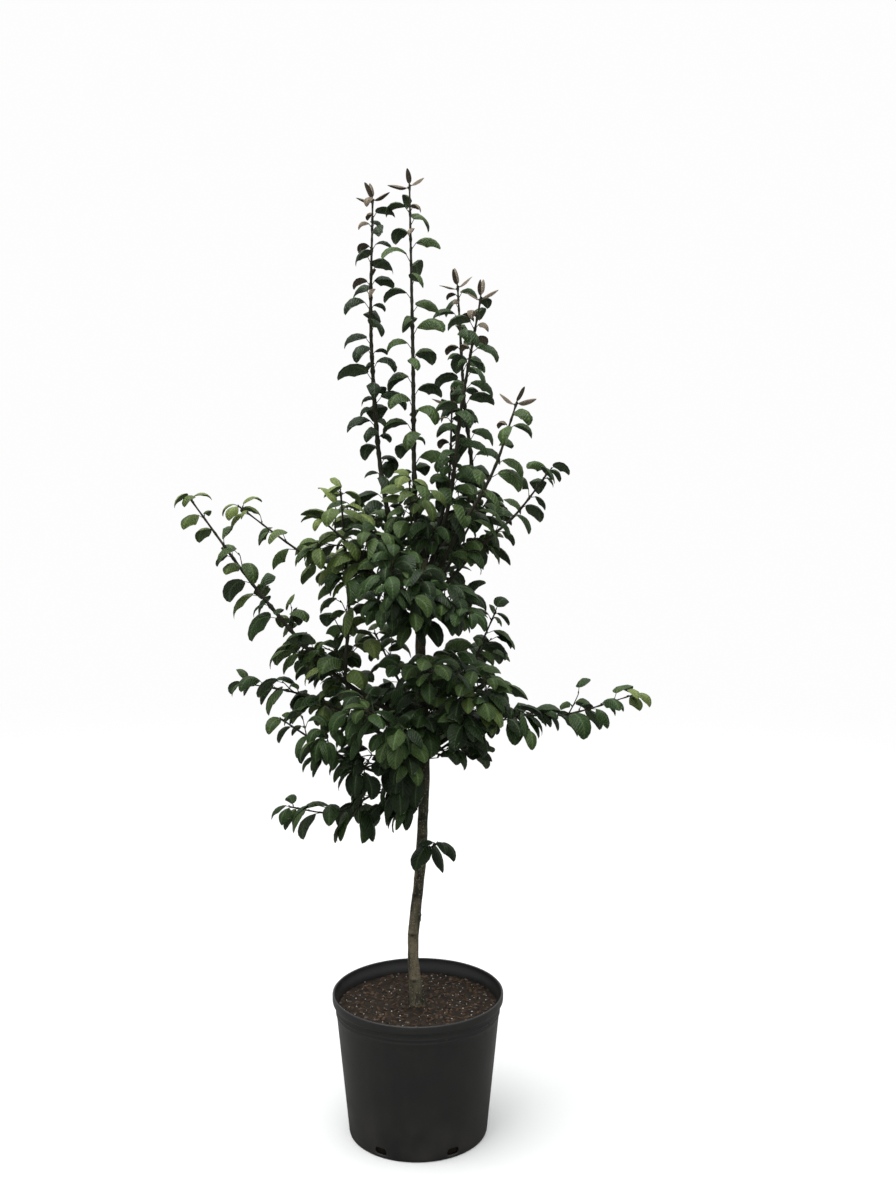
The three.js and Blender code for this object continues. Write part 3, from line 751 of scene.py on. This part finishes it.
@shape_group("chips on a bed", spacing=0.006, density=9000.0, smallest=(0.003, 0.002, 0.0012),
             largest=(0.013, 0.007, 0.003), tilt=0.5, roughen=0.0012, seed=1, material=None)
def chips_on_a_bed(made, bed, spacing, density, smallest, largest, tilt, roughen, seed, material):
    """Chips or grains strewn over a bed, each turned and sized at random."""
    faces_up = made.math("GREATER_THAN", made.parts(made.add("InputNormal"))["Z"], 0.5)
    points = made.add("DistributePointsOnFaces",
                      {"Mesh": bed, "Selection": faces_up, "Distance Min": spacing, "Density Max": density,
                       "Seed": seed}, distribute_method="POISSON")

    def scatter(low, high, drawn):
        return made.add("RandomValue", {0: low, 1: high, "Seed": drawn}, data_type="FLOAT_VECTOR")

    size = scatter(smallest, largest, seed)
    lean = made.math("MULTIPLY", tilt, -1.0)
    turn = scatter(made.vector(lean, lean, 0.0), made.vector(tilt, tilt, 6.283), made.math("ADD", seed, 7.0))
    chip = made.add("MeshIcoSphere", {"Radius": 0.5, "Subdivisions": 2})
    real = made.add("RealizeInstances", {"Geometry": made.instanced(points, chip, turn, size)})
    return made.dressed(made.roughened(real, roughen, 260.0, 1.0), material)


@mask_group("mottle", grain=40.0, detail=4.0, low=0.35, high=0.65)
def mottle(made, place, grain, detail, low, high):
    """Soft or sharp patches of a given grain."""
    return made.spread(made.add("TexNoise", {"Vector": place, "Scale": grain, "Detail": detail}), low, high)


@mask_group("specks", grain=300.0, size=0.25, few=0.5)
def specks(made, place, grain, size, few):
    """Separate specks, such as the pores in bark or grit on a wall."""
    cells = made.add("TexVoronoi", {"Vector": place, "Scale": grain}).node.outputs
    spot = made.spread(cells["Distance"], size, made.math("MULTIPLY", size, 0.4))
    chance = made.add("SeparateColor", {"Color": cells["Color"]})
    return made.math("MULTIPLY", spot, made.math("GREATER_THAN", chance, few))


@mask_group("side veins", count=9.0, slant=0.35, width=0.3)
def side_veins(made, place, count, slant, width):
    """Side veins that slant from the midrib towards the tip, at a place on a blade."""
    spot = made.parts(place)
    aside = made.math("MULTIPLY", made.math("ABSOLUTE", spot["Y"]), slant)
    ahead = made.math("MULTIPLY", made.math("SUBTRACT", spot["X"], aside), count)
    return made.spread(made.math("PINGPONG", ahead, 0.5), width, 0.0)


@mask_group("leaf margin", lean=OUTLINE_LEAN, full=OUTLINE_FULL, width=0.12)
def leaf_margin(made, place, lean, full, width):
    """The rim at a place on a blade, from 0 inside to 1 at its edge."""
    spot = made.parts(place)
    along_blade = made.math("MULTIPLY", made.math("POWER", spot["X"], lean), math.pi)
    half = made.math("POWER", made.math("SINE", along_blade), full)
    share = made.math("DIVIDE", made.math("ABSOLUTE", spot["Y"]), half)
    return made.spread(share, made.math("SUBTRACT", 1.0, width), 1.0)


# Pieces


def add_piece(name, mesh):
    piece = bpy.data.objects.new(name, mesh)
    bpy.context.scene.collection.objects.link(piece)
    return piece


def apply_modifiers(piece):
    """Turns what the modifiers make into the piece's own plain mesh."""
    depsgraph = bpy.context.evaluated_depsgraph_get()
    mesh = bpy.data.meshes.new_from_object(piece.evaluated_get(depsgraph), depsgraph=depsgraph)
    piece.modifiers.clear()
    piece.data = mesh


def keep(piece, replaced=()):
    """Every piece rides on the part's one body, and may stand for CAD nodes."""
    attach(piece, "root")
    if replaced:
        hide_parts(*replaced)


def dress(name, mesh, slot, replaced, tree, **values):
    """A kept piece, made from a mesh by a tree of Geometry Nodes with its named inputs."""
    piece = add_piece(name, mesh)
    modifier = piece.modifiers.new(tree.name, "NODES")
    modifier.node_group = tree
    for item in tree.interface.items_tree:
        if item.in_out == "INPUT" and item.name in labelled(values):
            modifier[item.identifier] = labelled(values)[item.name]
    apply_modifiers(piece)
    keep(piece, replaced)


def mesh_of(name, places, faces, edges=()):
    mesh = bpy.data.meshes.new(name)
    mesh.from_pydata(np.asarray(places, float).tolist(), list(edges), list(faces))
    mesh.update(calc_edges=True)
    return mesh


def mark(mesh, name, kind, domain, values):
    """Gives a mesh a named attribute."""
    attribute = mesh.attributes.new(name, kind, domain)
    attribute.data.foreach_set("vector" if kind == "FLOAT_VECTOR" else "value", np.ravel(values))


def circle(sides):
    return np.linspace(0, FULL_TURN, sides, endpoint=False)


def ring(radius, height, sides):
    """Places round the Z axis. The radius and the height may differ from place to place."""
    angles = circle(sides)
    return np.stack([np.cos(angles) * radius, np.sin(angles) * radius, np.full(sides, height)], axis=1)


def tube_mesh(name, rings, low_end, high_end):
    """A closed tube through rings of places in millimetres, with a fan at each end."""
    rows, sides = len(rings), len(rings[0])
    faces = []
    for row in range(rows - 1):
        for i in range(sides):
            j = (i + 1) % sides
            faces.append((row * sides + i, row * sides + j, (row + 1) * sides + j, (row + 1) * sides + i))
    for i in range(sides):
        j = (i + 1) % sides
        faces.append((rows * sides, j, i))
        faces.append((rows * sides + 1, (rows - 1) * sides + i, (rows - 1) * sides + j))
    return mesh_of(name, np.vstack([*rings, low_end, high_end]) * MM, faces)


def trunk_mesh():
    """The trunk, with its root flare in lobes and a swollen rim round each scar."""
    heights = np.arange(-TRUNK_SUNK, TRUNK_TOP + TRUNK_STEP, TRUNK_STEP, dtype=float)
    line = np.array([trunk_point(max(height, 0)) + UP * min(height, 0) for height in heights])
    angles = circle(TRUNK_SIDES)
    lobes = 1
    for size, count, turn in LOBES:
        lobes = lobes + size * np.cos(count * angles + turn)
    rings, scarred = [], []
    for height, centre in zip(heights, line):
        flare = flare_at(height)
        radius = trunk_radius(height) - flare + flare * lobes
        for size, wavelength, count, turn in WAVES:
            radius = radius + size * np.sin(height / wavelength + count * angles + turn)
        scar = np.zeros(TRUNK_SIDES)
        for scar_height, aim, size in SCARS:
            turn = (angles - math.radians(aim) + math.pi) % FULL_TURN - math.pi
            apart = np.hypot(turn * radius, (height - scar_height) * 1.5) / size
            rim = SCAR_RIM * np.exp(-((apart - 0.75) ** 2) / 0.12)
            radius = radius + rim - SCAR_HOLLOW * np.exp(-(apart**2) / 0.1)
            wrinkle = np.exp(-((turn / 1.1) ** 2) - ((height - scar_height - 0.25 * size) / 2.2) ** 2)
            radius = radius + SCAR_WRINKLE * wrinkle
            scar = np.maximum(scar, np.maximum(np.exp(-(apart**2) / 0.28), 0.7 * wrinkle))
        rings.append(centre + ring(radius, 0.0, TRUNK_SIDES))
        scarred.append(scar)
    mesh = tube_mesh("trunk_bark", rings, line[0], line[-1] + UP * 2)
    mark(mesh, "scar", "FLOAT", "POINT", np.append(np.concatenate(scarred), [0.0, 0.0]))
    return mesh


def line_mesh(name, woods):
    """Lines as a mesh of edges that holds the wood's radius at each place."""
    places, edges, radii = [], [], []
    for line, thickness in woods:
        first = len(places)
        places.extend(line * MM)
        radii.extend(thickness * MM)
        edges.extend((i, i + 1) for i in range(first, first + len(line) - 1))
    mesh = mesh_of(name, places, [], edges)
    mark(mesh, "radius_here", "FLOAT", "POINT", radii)
    return mesh


def tapered(line, start, end, collar=0.0, nodes=()):
    """A line with its radius at each place, with a collar where it starts and a swelling at each node."""
    reach = np.append(0, np.cumsum(np.linalg.norm(np.diff(line, axis=0), axis=1)))
    radius = start + (end - start) * (reach / reach[-1]) ** TAPER
    radius = radius * (1 + collar * np.exp(-reach / COLLAR_FADE))
    for place, _ in nodes:
        radius = radius * (1 + NODE_SWELL * np.exp(-(((line - place) ** 2).sum(1)) / 20))
    return line, radius


def leaf_faces():
    """One leaf's faces and their materials: 0 for the top, 1 for the underside and 2 for the midrib."""
    tip = 1 + LEAF_COLUMNS * len(LEAF_ROWS)
    rows = np.arange(1, tip).reshape(-1, LEAF_COLUMNS).tolist()
    faces, kinds = [], []
    for one, kind in enumerate((0, 0, 2, 0, 0, 1, 1)):
        two = (one + 1) % LEAF_COLUMNS
        faces += [(rows[0][one], rows[0][two], 0), (rows[-1][one], rows[-1][two], tip)]
        faces += [(low[one], low[two], high[two], high[one]) for low, high in zip(rows, rows[1:])]
        kinds += [kind] * (len(rows) + 1)
    return faces, kinds


def leaf_mesh(name, leaves, materials):
    """Closed, curved blades with a raised midrib, all in one mesh."""
    table = as_table(leaves)
    corners = [on_blades(table, 0.0, 0.0)]
    on_blade = [[0.0, 0.0]]
    for s in LEAF_ROWS:
        edge = outline(s) * table["half"]
        rib = RIB_HALF * (1 - 0.6 * s)
        asides = (-edge, -0.5 * edge, -rib, rib, 0.5 * edge, edge)
        corners += [on_blades(table, s, aside, lift) for aside, lift in zip(asides, RIB_LIFTS)]
        corners.append(on_blades(table, s, 0.0, -LEAF_THICK))
        on_blade += [[s, outline(s) * aside] for aside in (-1, -0.5, 0, 0, 0.5, 1, 0)]
    corners.append(on_blades(table, 1.0, 0.0))
    on_blade.append([1.0, 0.0])
    places = np.stack(corners, axis=1)
    count = places.shape[1]
    faces, kinds = leaf_faces()
    all_faces = [tuple(corner + i * count for corner in face) for i in range(len(leaves)) for face in faces]
    mesh = mesh_of(name, places.reshape(-1, 3) * MM, all_faces)
    for material in materials:
        mesh.materials.append(material)
    mesh.polygons.foreach_set("material_index", np.tile(kinds, len(leaves)))
    mesh.shade_smooth()
    spots = np.zeros((len(leaves), count, 3))
    spots[:, :, :2] = on_blade
    spots[:, :, 2] = table["tone"]
    mark(mesh, "on_blade", "FLOAT_VECTOR", "POINT", spots)
    # The creased edge runs round the blade, through its foot, its tip and both ends of each row
    margin = np.zeros(count, bool)
    margin[[0, count - 1]] = True
    for side in (1, 6):
        margin[side : count - 1 : LEAF_COLUMNS] = True
    ends = np.zeros(len(mesh.edges) * 2, int)
    mesh.edges.foreach_get("vertices", ends)
    mark(mesh, "sharp_edge", "BOOLEAN", "EDGE", margin[ends % count].reshape(-1, 2).all(axis=1))
    return mesh


def stalk_line(leaf):
    """A leaf's stalk, eased into the slope of its blade."""
    root, stalk = leaf["root"], leaf["out"] * leaf["stalk"]
    into = leaf["heading"] * math.cos(leaf["rise"]) + UP * math.sin(leaf["rise"])
    return np.array([root, root + stalk * 0.55, root + stalk, root + stalk + into * 3])


# Finishes


class Finish(Nodes):
    """A material under construction: its tree, its shader and the place on the piece."""

    def __init__(self, name, gloss, roughness=0.5):
        self.material = bpy.data.materials.new(name)
        self.material.use_nodes = True
        super().__init__(self.material.node_tree)
        self.shader = self.tree.nodes["Principled BSDF"]
        self.put(gloss, self.shader.inputs["Specular IOR Level"])
        self.put(roughness, self.shader.inputs["Roughness"])
        self.place = self.add("TexCoord", output="Object")

    def drawn_out(self, share):
        return self.add("Mapping", {"Vector": self.place, "Scale": (1, 1, share)})

    def effect(self, group, place=None, **inputs):
        """A shared effect's mask, with this material's own values."""
        inputs = {"Vector": place or self.place, **labelled(inputs)}
        return self.add("ShaderNodeGroup", inputs, node_tree=group)

    def mottle(self, grain, detail, low, high, place=None):
        return self.effect(mottle, place, grain=grain, detail=detail, low=low, high=high)

    def specks(self, grain, size, few):
        return self.effect(specks, grain=grain, size=size, few=few)

    def mix(self, share, first, second):
        return self.add("Mix", {"Factor": share, 6: first, 7: second}, 2, data_type="RGBA")

    def layers(self, colour, *layers):
        """A colour under others, each of them where its mask is, and by no more than most."""
        for mask, most, over in layers:
            colour = self.mix(self.between(mask, 0.0, most), colour, over)
        return colour

    def wear(self, colour, roughness, relief, depth, strength):
        """The finished material, with its colour, its roughness and a bump of the relief."""
        self.put(colour, self.shader.inputs["Base Color"])
        self.put(roughness, self.shader.inputs["Roughness"])
        bump = self.add("Bump", {"Height": relief, "Distance": depth, "Strength": strength})
        self.put(bump, self.shader.inputs["Normal"])
        return self.material


def shade(colour, factor):
    return tuple(part * factor for part in colour)


def leaf_finish(name, colour, roughness=0.45, gloss=0.22, vein=0.42):
    """A leaf's face, whose colour varies by leaf and across the blade, with down, paler veins and a pale
    rim.
    Their pale colour is greyed as a painted sheen, and the rim is partly a painted highlight.
    """
    made = Finish(name, gloss)
    # Paler than the leaf for its down and veins, and greyed as a painted sheen
    pale_and_sheen_colour = tuple(1.7 * part + 0.01 for part in colour)
    spot = made.add("Attribute", output="Vector", attribute_name="on_blade")
    own = made.parts(spot)
    veins = made.effect(side_veins, spot, count=8.0, slant=0.35, width=0.26)
    middle = made.spread(made.math("ABSOLUTE", own["Y"]), 0.15, 0.0)
    # A pale margin round the blade, partly the leaf's own and partly a painted rim highlight
    rim = made.effect(leaf_margin, spot, width=0.1)
    fine = made.mottle(190, 3, 0.35, 0.7)
    blotch = made.mottle(105, 3, 0.42, 0.66)
    down = made.specks(720, 0.5, 0.35)
    # The fine mottle and the down specks lighten towards that greyed colour: partly down, partly painted
    # sheen
    tone = made.layers(made.mix(own["Z"], shade(colour, 0.62), shade(colour, 1.3)),
                       (blotch, 0.5, shade(colour, 0.5)), (fine, 0.5, pale_and_sheen_colour), (down, 0.3, pale_and_sheen_colour))
    pale = made.math("MAXIMUM", made.between(veins, 0.0, vein), made.between(middle, 0.0, 1.8 * vein))
    pale = made.math("MAXIMUM", pale, made.between(rim, 0.0, vein))
    return made.wear(made.mix(pale, tone, shade(pale_and_sheen_colour, 1.5)),
                     made.between(fine, roughness - 0.06, roughness + 0.08),
                     made.math("SUBTRACT", fine, veins), 0.0007, 0.9)


def trunk_finish():
    """Grey-brown bark with fine pores, darker where limbs were cut."""
    made = Finish("young pear bark", 0.25)
    streaks = made.mottle(48, 6, 0.4, 0.62, made.drawn_out(0.3))
    pores = made.specks(290, 0.38, 0.45)
    scar = made.add("Attribute", output="Fac", attribute_name="scar")
    bark = made.layers(made.mix(streaks, (0.019, 0.019, 0.0115), (0.215, 0.18, 0.119)),
                       (made.mottle(26, 3, 0.38, 0.66), 0.6, (0.072, 0.07, 0.046)),
                       (made.specks(220, 0.42, 0.4), 0.7, (0.27, 0.235, 0.18)),
                       (pores, 0.75, (0.022, 0.02, 0.014)), (scar, 1.0, (0.012, 0.01, 0.009)))
    return made.wear(bark, made.between(streaks, 0.72, 0.9),
                     made.math("SUBTRACT", streaks, made.between(pores, 0.0, 0.8)), 0.0006, 0.8)


def shoot_finish(name, dark, light):
    """Smooth brown bark of young wood, with pale pores."""
    made = Finish(name, 0.2)
    streaks = made.mottle(90, 4, 0.35, 0.68, made.drawn_out(0.4))
    pores = made.specks(320, 0.26, 0.55)
    bark = made.layers(made.mix(streaks, dark, light), (pores, 0.6, shade(light, 2.2)))
    return made.wear(bark, made.between(streaks, 0.55, 0.75), made.math("ADD", streaks, pores), 0.0003, 0.6)


def pot_finish():
    """Black moulded plastic, dusty towards its foot, with streaks and specks of dust and soil all over."""
    made = Finish("black pot plastic", 0.45)
    low = made.spread(made.parts(made.place)["Z"], 0.13, 0.0)
    runs = made.mottle(55, 4, 0.5, 0.8, made.drawn_out(0.08))
    dust = made.math("MULTIPLY", made.mottle(14, 6, 0.35, 0.75), made.between(low, 0.18, 0.9))
    dust = made.math("ADD", dust, made.math("MULTIPLY", runs, 0.16))
    dust = made.math("ADD", dust, made.math("MULTIPLY", made.specks(240, 0.22, 0.72), 0.4))
    return made.wear(made.layers((0.012, 0.0122, 0.0128), (dust, 0.3, (0.12, 0.105, 0.085))),
                     made.between(dust, 0.3, 0.85), made.mottle(900, 2, 0.3, 0.7), 0.0002, 0.35)


def earth_finish(name, dark, light, grain, roughness=0.95):
    """Potting mix and what lies on it: damp, rough and uneven."""
    made = Finish(name, 0.2)
    crumbs = made.mottle(grain * 9, 3, 0.35, 0.65)
    colour = made.mix(made.mottle(grain, 6, 0.32, 0.68), dark, light)
    return made.wear(made.layers(colour, (crumbs, 0.6, dark)),
                     made.between(crumbs, roughness, roughness - 0.15), crumbs, 0.0008, 0.9)


UNDERSIDE = leaf_finish("pale underside", (0.07, 0.094, 0.055), 0.65, 0.1)
MIDRIB = leaf_finish("pale midrib", (0.075, 0.11, 0.045), 0.5, 0.12, 0.0)
YOUNG_UNDERSIDE = leaf_finish("young underside", (0.1, 0.14, 0.06), 0.62, 0.1)
BRONZE_UNDERSIDE = leaf_finish("bronze underside", (0.11, 0.092, 0.07), 0.62, 0.1)
# A leaf's materials by its tint: its top, its underside and its midrib
# The dark tint is the deep one at about half its brightness: partly a random darker tone, partly painted
# shade
LEAF_TINTS = {
    "deep": [leaf_finish("deep green leaf", (0.0155, 0.0355, 0.0064)), UNDERSIDE, MIDRIB],
    "dark": [leaf_finish("dark green leaf", (0.0068, 0.0165, 0.003)), UNDERSIDE, MIDRIB],
    "mid": [leaf_finish("mid green leaf", (0.0305, 0.055, 0.012)), UNDERSIDE, MIDRIB],
    "olive": [leaf_finish("olive green leaf", (0.0535, 0.08, 0.0175)), YOUNG_UNDERSIDE, MIDRIB],
    "light": [leaf_finish("young green leaf", (0.102, 0.134, 0.036)), YOUNG_UNDERSIDE, MIDRIB],
    "bronze": [leaf_finish("bronze young leaf", (0.122, 0.098, 0.072), 0.55, 0.13), *[BRONZE_UNDERSIDE] * 2],
}
STALK_GREEN = leaf_finish("green stalk", (0.06, 0.085, 0.034), 0.5, 0.12, 0.0)
BOUGH_BARK = shoot_finish("brown bough bark", (0.02, 0.0195, 0.0125), (0.05, 0.046, 0.03))
TWIG_BARK = shoot_finish("olive twig bark", (0.024, 0.022, 0.013), (0.055, 0.048, 0.029))


# Tree

plants = grow_tree()
boughs = [f"{plant['name']}_bough" for plant in plants if plant["knee"]]
masses = [f"{plant['name']}_leaves" for plant in plants]
bough_woods, stem_woods, twig_woods, stalk_woods, buds = ([] for _ in range(5))
for plant in plants:
    thick, slim = plant["thick"], plant["slim"]
    if plant["knee"]:
        bough_woods.append(tapered(plant["bough"], thick * BOUGH_SWELL, thick * slim, COLLAR))
    collar = 0.0 if plant["knee"] else COLLAR
    stem_woods.append(tapered(plant["stem"], thick * slim, TIP_RADIUS * slim, collar, plant["nodes"]))
    twig_woods += [tapered(twig["line"], twig["radius"], TWIG_END, 0.4) for twig in plant["side_wood"]]
    stalk_woods += [(stalk_line(leaf), STALK_RADII) for leaf in plant["leaves"]]
    buds += [((root + out * 3.2 + UP * 1.6) * MM, unit(out + UP * 0.9)) for root, out in plant["nodes"]]

dress("trunk_bark", trunk_mesh(), "bark", ["trunk"], bark_over_a_limb, height=0.0016, grain=120.0,
      draw_out=0.35, material=trunk_finish())
for name, woods, slot, replaced, sides, height, grain, material in (
    ("bough_bark", bough_woods, "shoot_bark", boughs, 12, 0.0009, 160.0, BOUGH_BARK),
    ("stem_bark", stem_woods, "shoot_bark", masses, 9, 0.0005, 220.0, BOUGH_BARK),
    ("twig_bark", twig_woods, "shoot_bark", [], 6, 0.0003, 260.0, TWIG_BARK),
    ("leaf_stalks", stalk_woods, "leaf", [], 5, 0.0, 200.0, STALK_GREEN),
):
    dress(name, line_mesh(name, woods), slot, replaced, wood_along_lines, sides=sides, height=height,
          grain=grain, draw_out=0.4, material=material)
bud_mesh = mesh_of("buds", [place for place, _ in buds], [])
mark(bud_mesh, "way", "FLOAT_VECTOR", "POINT", [way for _, way in buds])
dress("buds", bud_mesh, "shoot_bark", [], buds_on_points, length=0.0055, width=0.003, material=TWIG_BARK)

for tint, materials in LEAF_TINTS.items():
    leaves = [leaf for plant in plants for leaf in plant["leaves"] if leaf["tint"] == tint]
    wearers = [plant for plant in plants if any(leaf["tint"] == tint for leaf in plant["leaves"])]
    piece = add_piece(f"leaves_{tint}", leaf_mesh(f"leaves_{tint}", leaves, materials))
    keep(piece, [f"{plant['name']}_leaves" for plant in wearers])


# Pot and potting mix

POT_SIDES = 128
FOOT_RADIUS = 145.0
BODY_RADIUS = 172.0
WALL = 3.0
RIM_DEPTH = 18.0
LIP = 2.4
GROOVES = (22, 13)
DRAIN_COUNT = 6
DRAIN_SIZE = (26.0, 8 * WALL, 15.0)
DRAIN_SILL = 7.0
BED_FOOT = 141.5
BED_RINGS = 44


def pot_profile():
    """From the middle of the underside, out and up the wall, over the rolled rim and back down inside."""
    rim, height = POT_HIGH[0], POT_HIGH[2]
    rim_foot = height - RIM_DEPTH

    def wall(z):
        return FOOT_RADIUS + (BODY_RADIUS - FOOT_RADIUS) * z / rim_foot

    profile = [[0, 2.2], [FOOT_RADIUS - 16, 2.2], [FOOT_RADIUS - 13, 0], [FOOT_RADIUS - 2.5, 0]]
    profile += [[wall(1.0) - 0.6, 0.8], [wall(3.0), 3.0]]
    profile += [[wall(z), z] for z in np.arange(10.0, rim_foot - 26, 14.0)]
    for groove in (rim_foot - below for below in GROOVES):
        profile += [[wall(groove - LIP), groove - LIP], [wall(groove) + 1.3, groove - 0.8],
                    [wall(groove) + 1.3, groove + 0.8], [wall(groove + LIP), groove + LIP]]
    profile += [[wall(rim_foot - 4), rim_foot - 4], [wall(rim_foot), rim_foot - 1.5]]
    profile += [[rim - 2.2, rim_foot + 0.2], [rim - 0.5, rim_foot + 1.6], [rim, rim_foot + 4]]
    profile += [[rim - LIP + LIP * math.cos(turn), height - LIP + LIP * math.sin(turn)]
                for turn in np.linspace(0, math.pi, 7)]
    profile += [[rim - 4.8, rim_foot + 6], [wall(rim_foot) - WALL, rim_foot + 1]]
    profile += [[wall(z) - WALL, z] for z in np.linspace(rim_foot - 20, 8, 8)]
    return profile + [[FOOT_RADIUS - WALL - 1.5, 4.2], [0, 4.2]]


def pot_mesh():
    """The pot, turned from its profile, which starts and ends on the axis."""
    low_end, *turned, high_end = pot_profile()
    rings = [ring(radius, z, POT_SIDES) for radius, z in turned]
    return tube_mesh("pot_shell", rings, [0, 0, low_end[1]], [0, 0, high_end[1]])


def drain_cutters():
    """Rounded slots round the foot of the pot."""
    build = bmesh.new()
    for i in range(DRAIN_COUNT):
        made = bmesh.ops.create_cube(build, size=1.0)["verts"]
        bmesh.ops.scale(build, vec=np.array(DRAIN_SIZE) * MM, verts=made)
        middle = (0, FOOT_RADIUS * MM, (DRAIN_SILL + DRAIN_SIZE[2] / 2) * MM)
        bmesh.ops.translate(build, vec=middle, verts=made)
        turn = (i + 0.5) * FULL_TURN / DRAIN_COUNT
        bmesh.ops.rotate(build, cent=(0, 0, 0), matrix=Matrix.Rotation(turn, 3, "Z"), verts=made)
    through_wall = [edge for edge in build.edges if abs(edge.calc_length() - DRAIN_SIZE[1] * MM) < 1e-5]
    bmesh.ops.bevel(build, geom=through_wall, offset=6 * MM, segments=5, profile=0.5, affect="EDGES")
    mesh = bpy.data.meshes.new("drain_cutters")
    build.to_mesh(mesh)
    build.free()
    return mesh


def bed_mesh():
    """The potting mix: a full bed, a little higher round the trunk and uneven all over."""
    angles = circle(POT_SIDES)
    top_radius = MIX_HIGH[0]
    rings = [ring(BED_FOOT, MIX_LOW[2] + 2, POT_SIDES), ring(top_radius, MIX_LEVEL - 6, POT_SIDES)]
    for radius in np.linspace(top_radius, 6, BED_RINGS):
        mound = 3.5 * np.exp(-((radius / 45) ** 2)) - 1.5 * np.exp(-(((radius - 110) / 40) ** 2))
        swell = 1.4 * np.sin(angles * 3 + radius / 17) * np.sin(radius / 23)
        swell += 0.9 * np.sin(angles * 7 + 2 + radius / 9)
        z = MIX_LEVEL - 1.0 + mound + swell * min(1, radius / 40) * min(1, (top_radius + 4 - radius) / 20)
        rings.append(ring(radius, z, POT_SIDES))
    return tube_mesh("mix_bed", rings, [0, 0, MIX_LOW[2] + 2], [0, 0, MIX_LEVEL + 2])


pot = add_piece("pot_shell", pot_mesh())
cutters = add_piece("drain_cutters", drain_cutters())
cut = pot.modifiers.new("drains", "BOOLEAN")
cut.object = cutters
cut.operation = "DIFFERENCE"
cut.solver = "EXACT"
apply_modifiers(pot)
bpy.data.objects.remove(cutters)
pot.data.materials.clear()
pot.data.materials.append(pot_finish())
pot.data.shade_smooth()
keep(pot, ["pot"])

bed = bed_mesh()
dress("mix_bed", bed, "potting_mix", ["potting_mix"], bark_over_a_limb, height=0.004, grain=70.0,
      draw_out=1.0,
      material=earth_finish("damp potting mix", (0.014, 0.01, 0.0075), (0.05, 0.034, 0.023), 60.0))
for name, finish, spacing, density, smallest, largest, seed in (
    ("mix_chips", ("pine bark chip", (0.04, 0.025, 0.016), (0.14, 0.08, 0.048), 45.0),
     0.0085, 9000.0, (0.005, 0.003, 0.0015), (0.017, 0.009, 0.004), 3),
    ("mix_grey_chips", ("weathered bark chip", (0.06, 0.048, 0.038), (0.17, 0.14, 0.11), 45.0),
     0.014, 4000.0, (0.004, 0.003, 0.0015), (0.014, 0.008, 0.0035), 5),
    ("mix_perlite", ("perlite grain", (0.5, 0.49, 0.46), (0.72, 0.71, 0.68), 120.0, 0.85),
     0.013, 2600.0, (0.0015, 0.0015, 0.0012), (0.0038, 0.0034, 0.003), 11),
):
    dress(name, bed.copy(), "potting_mix", [], chips_on_a_bed, spacing=spacing, density=density,
          smallest=smallest, largest=largest, seed=seed, material=earth_finish(*finish))


# Studio

PAPER_WHITE = (0.985, 0.985, 0.985)
FLOOR_RADIUS = 14
FLOOR_GAP = 0.0005
# The camera, as it stood for the photograph
LENS = 40.65
SENSOR = 36
CAMERA_PLACE = (0.0627, -2.700, 1.450)
CAMERA_TILT = 83.157


def add_floor():
    """A wide pale floor that fades into the pale background."""
    place = (0, 0, -FLOOR_GAP)
    bpy.ops.mesh.primitive_circle_add(vertices=96, radius=FLOOR_RADIUS, fill_type="NGON", location=place)
    floor = bpy.context.object
    floor.name = "floor"
    made = Finish("pale floor", 0.1, 0.9)
    distance = made.add("VectorMath", {0: made.place}, "Value", operation="LENGTH")
    seen = made.add("LightPath", output="Is Camera Ray")
    far = made.math("MULTIPLY", made.spread(distance, 0.8, 5.0), seen)
    glow = made.add("Emission", {"Color": PAPER_WHITE, "Strength": 1.0})
    blend = made.add("MixShader", {0: far, 1: made.shader.outputs[0], 2: glow})
    made.put(made.mix(seen, (0.22, 0.22, 0.21), (0.9, 0.9, 0.9)), made.shader.inputs["Base Color"])
    made.put(blend, made.tree.nodes["Material Output"].inputs["Surface"])
    floor.data.materials.append(made.material)


def add_world():
    """A white background for the camera, and a softer overcast light on the tree, brightest from above."""
    world = bpy.data.worlds.new("overcast studio")
    world.use_nodes = True
    bpy.context.scene.world = world
    world.node_tree.nodes.clear()
    made = Nodes(world.node_tree)
    height = made.parts(made.add("TexCoord", output="Generated"))["Z"]
    strength = made.add("MapRange",
                        {"Value": height, "From Min": -0.2, "From Max": 1.0, "To Min": 0.12, "To Max": 1.35})
    sky = made.add("Background", {"Color": (0.98, 1.0, 0.99), "Strength": strength})
    paper = made.add("Background", {"Color": PAPER_WHITE, "Strength": 1.0})
    seen = made.add("LightPath", output="Is Camera Ray")
    output = world.node_tree.nodes.new("ShaderNodeOutputWorld")
    made.put(made.add("MixShader", {0: seen, 1: sky, 2: paper}), output.inputs["Surface"])
    output.is_active_output = True


def add_softbox(name, place, aim, size, power):
    light = bpy.data.lights.new(name, "AREA")
    light.shape = "RECTANGLE"
    light.size = light.size_y = size
    light.energy = power
    lamp = bpy.data.objects.new(name, light)
    lamp.location = place
    direction = np.array(aim, float) - np.array(place, float)
    pitch = math.acos(-direction[2] / np.linalg.norm(direction))
    lamp.rotation_euler = (pitch, 0, math.atan2(direction[1], direction[0]) - math.pi / 2)
    bpy.context.scene.collection.objects.link(lamp)


def add_camera():
    """Where the photograph was taken from: a little above the middle of the tree, looking slightly down."""
    camera = bpy.data.cameras.new("camera")
    camera.lens = LENS
    camera.sensor_width = SENSOR
    holder = bpy.data.objects.new("camera", camera)
    holder.location = CAMERA_PLACE
    holder.rotation_euler = (math.radians(CAMERA_TILT), 0, 0)
    bpy.context.scene.collection.objects.link(holder)
    bpy.context.scene.camera = holder


add_floor()
add_world()
add_softbox("overhead softbox", (-0.6, -0.5, 4.2), (0, 0, 1.0), 2.6, 120)
add_softbox("front softbox", (0.9, -3.4, 2.6), (0, 0, 1.1), 2.2, 5)
add_camera()
bpy.context.scene.view_settings.view_transform = "Standard"
